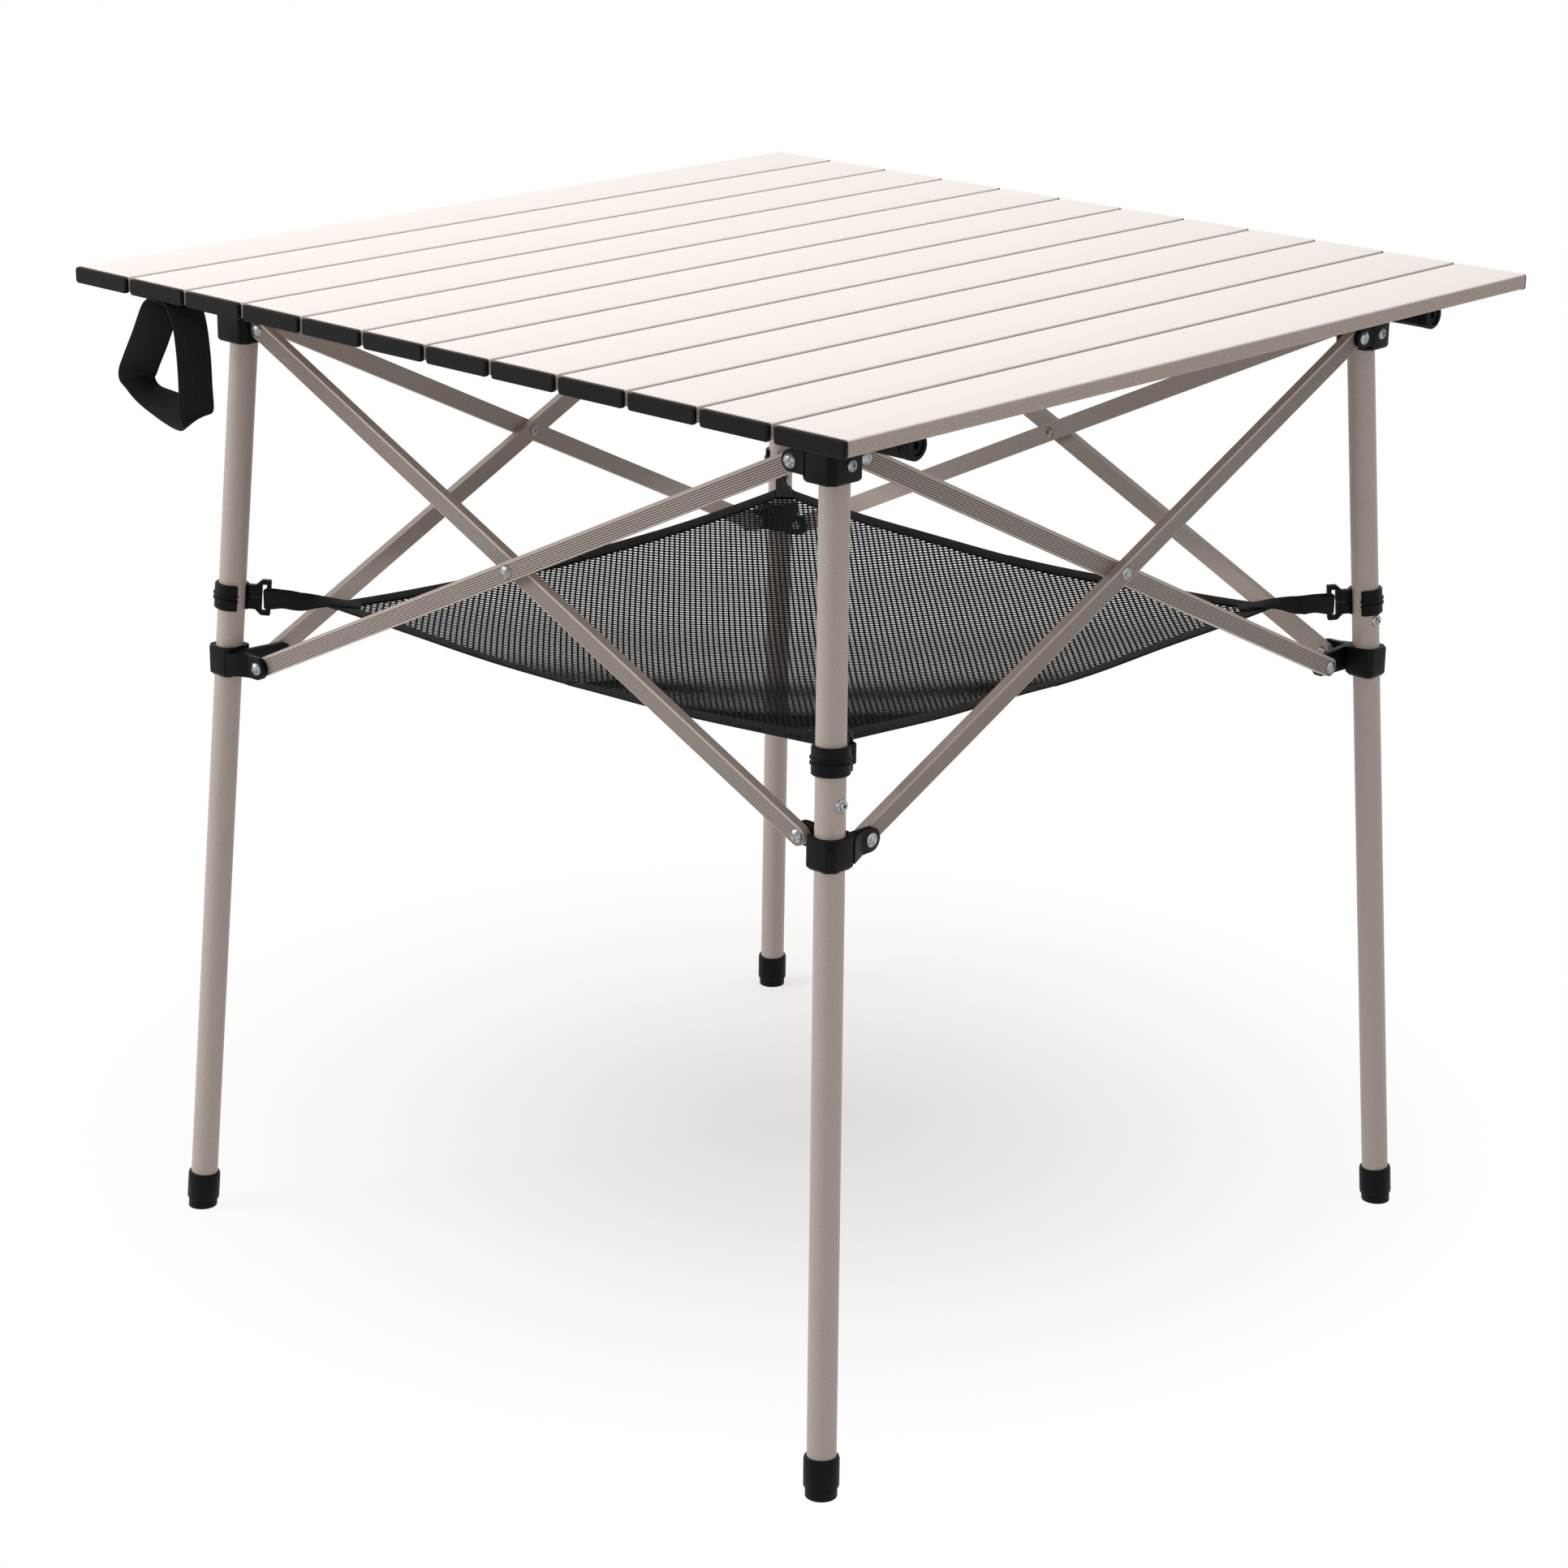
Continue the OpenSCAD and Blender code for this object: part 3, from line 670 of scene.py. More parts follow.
def bar_tree():
    """Tree of a scissor bar along X: a round-ended plate with grooves in its outer face and pivot holes."""
    tree, given, result = new_tree(
        "grooved_bar",
        [
            ("Length", "Float"),
            ("Width", "Float"),
            ("Thickness", "Float"),
            ("Hole", "Float"),
            ("Grooves", "Int"),
            ("Groove", "Float"),
            ("Pitch", "Float"),
            ("First", "Float"),
            ("Finish", "Material"),
        ],
    )
    if given is None:
        return tree
    whole = maths(tree, "ADD", given["Length"], given["Width"])
    round_end = maths(tree, "MULTIPLY", given["Width"], 0.499)
    middle = maths(tree, "MULTIPLY", given["Length"], 0.5)
    box = node(
        tree,
        "GeometryNodeCurvePrimitiveQuadrilateral",
        {"mode": "RECTANGLE"},
        {"Width": whole, "Height": given["Width"]},
    )
    soft = node(
        tree,
        "GeometryNodeFilletCurve",
        {"mode": "POLY"},
        {"Curve": box.outputs[0], "Radius": round_end, "Count": 10},
    )
    face = node(tree, "GeometryNodeFillCurve", {"mode": "NGONS"}, {"Curve": soft.outputs[0]})
    centre = node(tree, "ShaderNodeCombineXYZ", {}, {"X": middle})
    flat = node(
        tree, "GeometryNodeTransform", {}, {"Geometry": face.outputs[0], "Translation": centre.outputs[0]}
    )
    up = node(tree, "ShaderNodeCombineXYZ", {}, {"Z": given["Thickness"]})
    raised = node(
        tree,
        "GeometryNodeExtrudeMesh",
        {"mode": "FACES"},
        {"Mesh": flat.outputs[0], "Offset": up.outputs[0], "Offset Scale": 1.0, "Individual": False},
    )
    under = node(tree, "GeometryNodeFlipFaces", {}, {"Mesh": flat.outputs[0]})
    plate = node(tree, "GeometryNodeJoinGeometry")
    tree.links.new(raised.outputs["Mesh"], plate.inputs[0])
    tree.links.new(under.outputs[0], plate.inputs[0])
    solid = node(tree, "GeometryNodeMergeByDistance", {}, {"Geometry": plate.outputs[0], "Distance": 1e-7})
    step = node(tree, "ShaderNodeCombineXYZ", {}, {"Y": given["Pitch"]})
    first = node(
        tree,
        "ShaderNodeCombineXYZ",
        {},
        {"X": middle, "Y": given["First"], "Z": given["Thickness"]},
    )
    rows = node(
        tree,
        "GeometryNodeMeshLine",
        {"mode": "OFFSET"},
        {"Count": given["Grooves"], "Start Location": first.outputs[0], "Offset": step.outputs[0]},
    )
    reach = maths(tree, "ADD", whole, 0.02)
    cut = node(
        tree,
        "ShaderNodeCombineXYZ",
        {},
        {"X": reach, "Y": given["Groove"], "Z": given["Groove"]},
    )
    wire = node(tree, "GeometryNodeMeshCube", {}, {"Size": cut.outputs[0]})
    # The groove faces are marked so that the coat paints shade into them
    marked = node(
        tree,
        "GeometryNodeStoreNamedAttribute",
        {"data_type": "FLOAT", "domain": "FACE"},
        {"Geometry": wire.outputs[0], "Name": "groove", "Value": 1.0},
    )
    turned = node(
        tree,
        "GeometryNodeTransform",
        {},
        {"Geometry": marked.outputs[0], "Rotation": (math.radians(45), 0, 0)},
    )
    grooves = node(
        tree, "GeometryNodeInstanceOnPoints", {}, {"Points": rows.outputs[0], "Instance": turned.outputs[0]}
    )
    spots = node(
        tree, "GeometryNodeMeshLine", {"mode": "OFFSET"}, {"Count": 3, "Offset": centre.outputs[0]}
    )
    drill = node(
        tree, "GeometryNodeMeshCylinder", {}, {"Vertices": 20, "Radius": given["Hole"], "Depth": 0.04}
    )
    holes = node(
        tree, "GeometryNodeInstanceOnPoints", {}, {"Points": spots.outputs[0], "Instance": drill.outputs[0]}
    )
    cutters = node(tree, "GeometryNodeJoinGeometry")
    tree.links.new(grooves.outputs[0], cutters.inputs[0])
    tree.links.new(holes.outputs[0], cutters.inputs[0])
    real = node(tree, "GeometryNodeRealizeInstances", {}, {"Geometry": cutters.outputs[0]})
    carved = node(
        tree,
        "GeometryNodeMeshBoolean",
        {"operation": "DIFFERENCE", "solver": "EXACT"},
        {"Mesh 1": solid.outputs[0], "Mesh 2": real.outputs[0], "Self Intersection": True},
    )
    done = node(
        tree, "GeometryNodeSetMaterial", {}, {"Geometry": carved.outputs[0], "Material": given["Finish"]}
    )
    tree.links.new(done.outputs[0], result[0])
    return tree


def rivet_tree():
    """Tree that sets a head on each point, or a tail where the point is marked, along its facing."""
    tree, given, result = new_tree("rivets", [("Head", "Object"), ("Tail", "Object"), ("Finish", "Material")])
    if given is None:
        return tree
    way = node(tree, "GeometryNodeInputNamedAttribute", {"data_type": "FLOAT_VECTOR"}, {"Name": "facing"})
    turn = node(
        tree, "FunctionNodeAlignRotationToVector", {"axis": "Z"}, {"Vector": way.outputs["Attribute"]}
    )
    mark = node(tree, "GeometryNodeInputNamedAttribute", {"data_type": "BOOLEAN"}, {"Name": "tail"})
    head = node(tree, "FunctionNodeBooleanMath", {"operation": "NOT"}, {0: mark.outputs["Attribute"]})
    both = node(tree, "GeometryNodeJoinGeometry")
    for label, chosen in (("Head", head.outputs[0]), ("Tail", mark.outputs["Attribute"])):
        shape = node(tree, "GeometryNodeObjectInfo", {}, {"Object": given[label]})
        put = node(
            tree,
            "GeometryNodeInstanceOnPoints",
            {},
            {
                "Points": given["Geometry"],
                "Selection": chosen,
                "Instance": shape.outputs["Geometry"],
                "Rotation": turn.outputs[0],
            },
        )
        tree.links.new(put.outputs[0], both.inputs[0])
    real = node(tree, "GeometryNodeRealizeInstances", {}, {"Geometry": both.outputs[0]})
    done = node(
        tree, "GeometryNodeSetMaterial", {}, {"Geometry": real.outputs[0], "Material": given["Finish"]}
    )
    tree.links.new(done.outputs[0], result[0])
    return tree


def net_tree():
    """Tree of a quarter of the net: a lattice turned to the diagonal, each cell with a hole."""
    tree, given, result = new_tree(
        "net_lattice",
        [
            ("Rows", "Int"),
            ("Columns", "Int"),
            ("Row Pitch", "Float"),
            ("Column Pitch", "Float"),
            ("Reach", "Float"),
            ("Open", "Float"),
            ("Quarter", "Vector"),
            ("Finish", "Material"),
        ],
    )
    if given is None:
        return tree
    sizes = []
    for count, pitch in (("Rows", "Row Pitch"), ("Columns", "Column Pitch")):
        cells = maths(tree, "SUBTRACT", given[count], 1.0)
        size = maths(tree, "MULTIPLY", cells, given[pitch])
        sizes.append(size)
    grid = node(
        tree,
        "GeometryNodeMeshGrid",
        {},
        {"Size X": sizes[0], "Size Y": sizes[1], "Vertices X": given["Rows"], "Vertices Y": given["Columns"]},
    )
    turned = node(
        tree,
        "GeometryNodeTransform",
        {},
        {"Geometry": grid.outputs[0], "Rotation": (0, 0, math.radians(-45))},
    )
    at = node(tree, "GeometryNodeInputPosition")
    side = node(
        tree, "ShaderNodeVectorMath", {"operation": "MULTIPLY"}, {0: at.outputs[0], 1: given["Quarter"]}
    )
    axes = node(tree, "ShaderNodeSeparateXYZ", {}, {0: side.outputs[0]})
    low = maths(tree, "MINIMUM", axes.outputs[0], axes.outputs[1])
    high = maths(tree, "MAXIMUM", axes.outputs[0], axes.outputs[1])
    below = maths(tree, "LESS_THAN", low, 0.0)
    beyond = maths(tree, "GREATER_THAN", high, given["Reach"])
    away = maths(tree, "ADD", below, beyond)
    kept = node(
        tree,
        "GeometryNodeDeleteGeometry",
        {"domain": "FACE"},
        {"Geometry": turned.outputs[0], "Selection": away},
    )
    rings = node(
        tree,
        "GeometryNodeExtrudeMesh",
        {"mode": "FACES"},
        {"Mesh": kept.outputs[0], "Offset Scale": 0.0, "Individual": True},
    )
    hole = node(
        tree,
        "GeometryNodeScaleElements",
        {"domain": "FACE"},
        {"Geometry": rings.outputs["Mesh"], "Selection": rings.outputs["Top"], "Scale": given["Open"]},
    )
    pierced = node(
        tree,
        "GeometryNodeDeleteGeometry",
        {"domain": "FACE"},
        {"Geometry": hole.outputs[0], "Selection": rings.outputs["Top"]},
    )
    real = node(tree, "GeometryNodeRealizeInstances", {}, {"Geometry": pierced.outputs[0]})
    done = node(
        tree, "GeometryNodeSetMaterial", {}, {"Geometry": real.outputs[0], "Material": given["Finish"]}
    )
    tree.links.new(done.outputs[0], result[0])
    return tree


def smooth_path(points, steps):
    """Points on a smooth curve through the given ones."""
    done, count = [], len(points)
    for i in range(count - 1):
        a, b, c, d = (Vector(points[max(0, min(count - 1, i + j))]) for j in (-1, 0, 1, 2))
        for s in range(steps):
            t = s / steps
            bend = (2 * a - 5 * b + 4 * c - d) * t**2 + (3 * b - a - 3 * c + d) * t**3
            done.append(0.5 * (2 * b + (c - a) * t + bend))
    return done + [Vector(points[-1])]


def tape(points, across, width, thick, steps=8):
    """A woven tape along a path, with the way its width lies at each point, and a map of its own."""
    line, ways = smooth_path(points, steps), smooth_path(across, steps)
    spots, maps, faces, gone = [], [], [], 0.0
    section = [(-0.5, 0.2), (-0.46, 0.5), (0.46, 0.5), (0.5, 0.2), (0.5, -0.2), (0.46, -0.5), (-0.46, -0.5)]
    section.append((-0.5, -0.2))
    count = len(section)
    for i, spot in enumerate(line):
        ahead = (line[min(i + 1, len(line) - 1)] - line[max(i - 1, 0)]).normalized()
        wide = (ways[i] - ahead * ways[i].dot(ahead)).normalized()
        up = ahead.cross(wide)
        gone += (spot - line[i - 1]).length if i else 0
        spots += [spot + wide * width * u + up * thick * v for u, v in section]
        maps += [(width * u, gone) for u, v in section]
    for i in range(len(line) - 1):
        for j in range(count):
            t = (j + 1) % count
            faces.append([i * count + j, i * count + t, (i + 1) * count + t, (i + 1) * count + j])
    faces += [list(range(count))[::-1], list(range(len(spots) - count, len(spots)))]
    mesh = bpy.data.meshes.new("tape")
    mesh.from_pydata([tuple(p) for p in spots], [], faces)
    layer = mesh.uv_layers.new(name="tape")
    for loop in mesh.loops:
        layer.data[loop.index].uv = maps[loop.vertex_index]
    shape = bmesh.new()
    shape.from_mesh(mesh)
    bmesh.ops.recalc_face_normals(shape, faces=shape.faces)
    shape.to_mesh(mesh)
    shape.free()
    return mesh


def hang(mesh, net):
    """Moves a flat part of the net into its hanging shape."""
    for point in mesh.vertices:
        x, y, z = point.co
        a, b = min(1, abs(x) / net.half) ** 2, min(1, abs(y) / net.half) ** 2
        droop = net.sag * (1 - a) * (1 - b) + net.edge_sag * ((1 - a) * b + (1 - b) * a)
        droop -= net.raised * max(0, x / net.half) * max(0, -y / net.half)
        # A slack cloth ripples a little between its corners
        droop += 0.8 * MM * math.sin(x / (31 * MM) + 1) * math.sin(y / (27 * MM)) * (1 - a * b)
        pull_x, pull_y = net.edge_pull * a * (1 - b), net.edge_pull * b * (1 - a)
        point.co = (
            x - math.copysign(pull_x, x),
            y - math.copysign(pull_y, y),
            net.height - droop + z,
        )
    return mesh


def rivet_points(spots):
    """A mesh of points that carry their facing and whether they are a tail."""
    mesh = bpy.data.meshes.new("rivet_points")
    mesh.from_pydata([tuple(s[0]) for s in spots], [], [])
    facing = mesh.attributes.new("facing", "FLOAT_VECTOR", "POINT")
    tail = mesh.attributes.new("tail", "BOOLEAN", "POINT")
    for i, (spot, way, is_tail) in enumerate(spots):
        facing.data[i].vector = way
        tail.data[i].value = is_tail
    return mesh


def rivet_spots(turn, side, x, z, inner, outer):
    """Head and tail of a rivet through a side: turn of the corner, its own side or the next one."""
    place = turn @ Matrix.Rotation(math.radians(90 * side), 4, "Z")
    way = place.to_3x3() @ Vector((0, -1, 0))
    return [
        (place @ Vector((x, -outer, z)), way, False),
        (place @ Vector((x, -inner, z)), -way, True),
    ]


class CAMPTABLE_OT_slats(bpy.types.Operator):
    """Slats with their end caps"""

    bl_idname = "camptable.slats"
    bl_label = "Slats"

    def execute(self, context):
        size = layout()
        top, tree = size.top, slat_tree()
        pale, black = slat_coat(size), moulded_abs(size)
        half, plank_edge, cap_edge = top.slat_length / 2, 0.3 * MM, 0.7 * MM
        for i in range(1, SLATS + 1):
            body = "top" if i == 1 else f"slat_{i}"
            x = (i - (SLATS + 1) / 2) * top.slat_pitch
            shared = {
                "Width": top.slat_width,
                "Thickness": top.slat_thick,
                "Corner": top.slat_corner,
                "Place": (x, 0, top.height - top.slat_thick / 2),
            }
            plank = grown(
                f"slat_{i}_plank",
                tree,
                {**shared, "Start": 0.0, "End": half - top.cap_flange, "Inset": plank_edge, "Closed": False},
                pale,
            )
            settle(plank, body, "slat_metal", f"slat_{i}")
            caps = grown(
                f"slat_{i}_caps",
                tree,
                {
                    **shared,
                    "Width": top.slat_width - 2 * top.cap_inset,
                    "Corner": top.slat_corner * 0.8,
                    "Place": (x, 0, top.height - top.slat_thick / 2 - top.cap_drop),
                    "Start": half - top.cap_flange + 0.05 * MM,
                    "End": half,
                    "Inset": cap_edge,
                    "Closed": True,
                },
                black,
            )
            settle(caps, body, "black_plastic")
        return {"FINISHED"}


class CAMPTABLE_OT_cords(bpy.types.Operator):
    """Elastic cord that shows in the gaps between the slats"""

    bl_idname = "camptable.cords"
    bl_label = "Cords"

    def execute(self, context):
        size = layout()
        top = size.top
        black = knitted_net(size)
        r, reach = top.cord / 2, top.slat_pitch / 2 - top.slat_width / 2 + 5 * MM
        y, z = top.slat_length / 2 - top.cap_flange - 7 * MM, top.height - top.slat_thick / 2
        # Short runs with rounded ends, each hidden in the slats on both sides of its gap
        profile = [(0, -reach), (r * 0.7, -reach + r * 0.3), (r, -reach + r)]
        profile += [(r, reach - r), (r * 0.7, reach - r * 0.3), (0, reach)]
        for i in range(1, SLATS):
            x = (i + 0.5 - (SLATS + 1) / 2) * top.slat_pitch
            runs = []
            for s in (-1, 1):
                lay = Matrix.Translation((x, s * y, z)) @ LIE
                runs.append(placed(lathe(profile, 20), lay))
            piece = add_piece(f"slat_cord_{i}", joined_meshes(runs), black)
            settle(piece, "top" if i == 1 else f"slat_{i}", "elastic", *(["slat_cords"] if i == 1 else []))
        return {"FINISHED"}


class CAMPTABLE_OT_rails(bpy.types.Operator):
    """Support rails and their end sleeves"""

    bl_idname = "camptable.rails"
    bl_label = "Rails"

    def execute(self, context):
        size = layout()
        top = size.top
        sand, black = frame_coat(size), moulded_abs(size)
        r, half = top.rail / 2, top.rail_length / 2
        bare, wall, gap = half - top.sleeve, 1.2 * MM, 0.25 * MM
        z = top.height - top.slat_thick - gap - r
        tube = [(r, -bare), (r, bare), (r - wall, bare), (r - wall, -bare)]
        s = r - 0.2 * MM
        # A sleeve has a lip, a ring near its end and a recessed middle
        sleeve = [(0, bare + 2 * MM), (s - 1.5 * MM, bare + 2 * MM), (s - 1.5 * MM, bare + 0.05 * MM)]
        sleeve += [(s - 0.4 * MM, bare + 0.05 * MM), (s, bare + 0.6 * MM), (s, half - 7.4 * MM)]
        sleeve += [(s - 0.7 * MM, half - 7 * MM), (s - 0.7 * MM, half - 6 * MM), (r, half - 5.6 * MM)]
        sleeve += [(r, half - 1 * MM), (r - 0.9 * MM, half), (r - 3 * MM, half)]
        sleeve += [(r - 3.4 * MM, half - 1.2 * MM), (2.4 * MM, half - 1.2 * MM)]
        sleeve += [(2 * MM, half - 3 * MM), (0, half - 3 * MM)]
        for name, side in (("front", -1), ("rear", 1)):
            lay = Matrix.Translation((0, side * top.rail_gap / 2, z)) @ LIE
            pipe = add_piece(f"rail_{name}_tube", placed(lathe(tube, 64, True), lay), sand)
            settle(pipe, "top", "frame_metal", f"rail_{name}")
            ends = []
            for turn in (0, 180):
                ends.append(placed(lathe(sleeve, 56), lay @ Matrix.Rotation(math.radians(turn), 4, "X")))
            settle(add_piece(f"rail_{name}_sleeves", joined_meshes(ends), black), "top", "black_plastic")
        return {"FINISHED"}


def above_floor(mesh):
    """The part of a closed shape above the floor, closed again."""
    shape = bmesh.new()
    shape.from_mesh(mesh)
    every = shape.verts[:] + shape.edges[:] + shape.faces[:]
    cut = bmesh.ops.bisect_plane(shape, geom=every, plane_co=(0, 0, 0), plane_no=(0, 0, 1), clear_inner=True)
    rim = [e for e in cut["geom_cut"] if isinstance(e, bmesh.types.BMEdge)]
    bmesh.ops.holes_fill(shape, edges=rim)
    bmesh.ops.recalc_face_normals(shape, faces=shape.faces)
    made = bpy.data.meshes.new("shape")
    shape.to_mesh(made)
    shape.free()
    return made


class CAMPTABLE_OT_legs(bpy.types.Operator):
    """Leg tubes, their stop rivets and feet"""

    bl_idname = "camptable.legs"
    bl_label = "Legs and feet"

    def execute(self, context):
        size = layout()
        legs = size.legs
        sand, black, zinc = frame_coat(size), moulded_abs(size), zinc_steel(size)
        r, down, wall = legs.leg / 2, size.leg_down, 1.3 * MM
        up = 8.4 * MM
        low = -down + 4 * MM
        tube = [(r, low), (r, up - 0.4 * MM), (r - 0.4 * MM, up), (r - wall, up), (r - wall, low)]
        stop = [(0, 0.2 * MM), (0.9 * MM, 0.3 * MM), (1 * MM, 1.9 * MM), (1.7 * MM, 2 * MM)]
        stop += [(2.4 * MM, 1.6 * MM), (2.6 * MM, 0.9 * MM)]
        stop += [(4 * MM, 0.8 * MM), (4.5 * MM, 0.3 * MM), (4.5 * MM, -1 * MM), (0, -1 * MM)]
        f = legs.foot / 2
        foot = [(0, -down - 4 * MM), (f - 1.2 * MM, -down - 4 * MM), (f - 1.2 * MM, -down + 5 * MM)]
        foot += [(f - 1.6 * MM, -down + 5.6 * MM), (f - 0.3 * MM, -down + 6.4 * MM), (f, -down + 7.4 * MM)]
        foot += [(f, -down + 25 * MM), (f - 0.4 * MM, -down + 26.4 * MM), (f - 1.1 * MM, -down + 27 * MM)]
        foot += [(r + 0.1 * MM, -down + 27 * MM), (r + 0.1 * MM, -down + 3.9 * MM), (0, -down + 3.9 * MM)]
        lift = legs.drop / math.cos(size.lean) - 30 * MM
        for k, name in enumerate(CORNERS):
            spot = on_leg(k, size)
            pipe = add_piece(f"leg_{name}_tube", placed(lathe(tube, 72, True), spot), sand)
            settle(pipe, f"leg_{name}", "frame_metal", f"leg_{name}")
            face = Matrix.Rotation(math.radians(45 - 90 * (k % 2)), 4, "Z")
            aim = spot @ face @ Matrix.Translation((r, 0, -lift)) @ LIE
            button = add_piece(f"stop_rivet_{name}", placed(lathe(stop, 32), aim), zinc)
            settle(button, f"leg_{name}", "zinc_steel")
            cup = add_piece(f"foot_{name}_cup", above_floor(placed(lathe(foot, 64), spot)), black)
            settle(cup, f"leg_{name}", "black_plastic", f"foot_{name}")
        return {"FINISHED"}


def ear_outline(start, end, radius, root):
    """Outline of an ear from its root to a round end, wider at the root."""
    out = 1 if end > start else -1
    done = [(start, -root), (end - out * radius * 0.6, -radius)]
    for s in range(13):
        a = math.radians(-90 + 15 * s)
        done.append((end + out * radius * math.cos(a), radius * math.sin(a)))
    return done + [(end - out * radius * 0.6, radius), (start, root)]


def side_slab(outline, inner, outer, height):
    """A slab in the plane of the front left side from an outline in X and Z."""
    return placed(
        prism([(x, z + height) for x, z in outline], inner, outer), Matrix.Rotation(math.radians(90), 4, "X")
    )


def next_side(mesh):
    """The same slab on the next side round the corner."""
    return placed(mesh, Matrix.Rotation(math.radians(90), 4, "Z"))


def leg_bore(k, size, room, low, high):
    """A round cut along a leg, wider than the leg by some room all round."""
    r = size.legs.leg / 2 + room
    bore = lathe([(0, low), (r, low), (r, high), (0, high)], 48)
    bore.transform(corner_turn(-k) @ on_leg(k, size))
    return bore


def bracket_shape(k, size):
    """Solids and cuts of a top bracket, as it would stand at the front corner."""
    legs, at, z = size.legs, size.legs.leg_half, size.legs.pivot_z
    inner, outer = size.ear_spans
    # A socket with cut corners, drawn out until its face is flush with the outer ear
    w, c, f = legs.bracket_half, 4 * MM, outer[1] - at
    outline = [(w, c - f), (w, w - c), (w - c, w), (c - w, w), (-w, w - c), (-w, c - f), (c - w, -f)]
    outline.append((w - c, -f))
    socket = stacked(
        [(at + x, -at + y) for x, y in outline],
        [(z - 11.2 * MM, 1.4 * MM), (z - 9.6 * MM, 0), (z + 9.8 * MM, 0)],
    )
    ear, root = 7 * MM, 7.5 * MM
    ears = [
        side_slab(ear_outline(at, legs.pivot_half, ear, root), *outer, z),
        next_side(side_slab(ear_outline(-at, -legs.pivot_half, ear, root), *inner, z)),
    ]
    return [socket, *ears], [leg_bore(k, size, 0.6 * MM, -40 * MM, 8.6 * MM)]


def slider_shape(k, size):
    """Solids and cuts of a slider, as it would stand at the front corner."""
    legs, at, z = size.legs, size.slider_half, size.slider_z
    inner, outer = size.ear_spans
    h, w, pivot = legs.slider_height / 2, legs.slider_width / 2, legs.pivot_half
    # The outward corner is cut deeper than the other three
    a, b = 4.7 * MM, 3 * MM
    box = [(w, -w + a), (w, w - b), (w - b, w), (-w + b, w), (-w, w - b), (-w, -w + b), (-w + b, -w)]
    box.append((w - a, -w))
    collar = stacked(
        [(at + x, -at + y) for x, y in box],
        [(z - h, 1.6 * MM), (z - h + 2 * MM, 0), (z + h - 0.6 * MM, 0), (z + h, 0.5 * MM)],
    )
    s = 6.5 * MM
    web = block((at - s, -at, z - s), (at + s, -inner[0], z + s))
    ear, root = 7.8 * MM, 9 * MM
    ears = [
        side_slab(ear_outline(at, pivot, ear, root), *inner, z),
        next_side(side_slab(ear_outline(-at, -pivot, ear, root), *outer, z)),
    ]
    # The outer ear runs out of the collar's face in a slope
    start, end, tall = -at + w - 1 * MM, -pivot - 8 * MM, 7.9 * MM
    slope = [(start, -at - w + 0.4 * MM), (end, -outer[1]), (end, -outer[0]), (start, -outer[0])]
    ears.append(next_side(prism(slope, z - tall, z + tall)))
    edge = (w - a / 2) * math.sqrt(2)
    notch = block((edge - 1 * MM, -2 * MM, h - 5 * MM), (edge + 5 * MM, 2 * MM, h + 5 * MM))
    notch.transform(Matrix.Translation((at, -at, z)) @ Matrix.Rotation(math.radians(-45), 4, "Z"))
    return [collar, web, *ears], [leg_bore(k, size, 0.3 * MM, -0.4, -0.1), notch]


class CAMPTABLE_OT_joints(bpy.types.Operator):
    """Moulded top brackets and sliders"""

    bl_idname = "camptable.joints"
    bl_label = "Brackets and sliders"

    def execute(self, context):
        size = layout()
        black = moulded_abs(size)
        kinds = (("bracket", "socket", bracket_shape, 0.7), ("slider", "collar", slider_shape, 0.9))
        for k, name in enumerate(CORNERS):
            for kind, part, shape, soften in kinds:
                made = moulding(f"{kind}_{name}_{part}", black, *shape(k, size), soften * MM)
                made.data.transform(corner_turn(k))
                settle(made, f"{kind}_{name}", "black_plastic", f"{kind}_{name}")
        return {"FINISHED"}


class CAMPTABLE_OT_bars(bpy.types.Operator):
    """Grooved scissor bars"""

    bl_idname = "camptable.bars"
    bl_label = "Scissor bars"

    def execute(self, context):
        size = layout()
        legs, tree, sand = size.legs, bar_tree(), frame_coat(size)
        for k, name in enumerate(SIDES):
            for layer in ("outer", "inner"):
                front = layer == "outer"
                values = {
                    "Length": size.bar_length,
                    "Width": legs.bar_width,
                    "Thickness": legs.bar_thick,
                    "Hole": legs.bar_hole,
                    "Grooves": GROOVES,
                    "Groove": legs.groove,
                    "Pitch": legs.groove_pitch,
                    "First": -legs.bar_width / 2 + legs.groove_edge,
                }
                made = grown(f"bar_{layer}_{name}_extrusion", tree, values, sand, None, 25)
                out = size.bar_plane + (legs.bar_gap if front else -legs.bar_gap - legs.bar_thick)
                tilt = Matrix.Rotation(size.bar_tilt if front else -size.bar_tilt, 4, "Z")
                start = (-legs.pivot_half, size.slider_z if front else legs.pivot_z, 0)
                stand = Matrix.Translation((0, -out, 0)) @ Matrix.Rotation(math.radians(90), 4, "X")
                made.data.transform(corner_turn(k) @ stand @ Matrix.Translation(start) @ tilt)
                settle(made, f"bar_{layer}_{name}", "frame_metal", f"bar_{layer}_{name}")
        return {"FINISHED"}


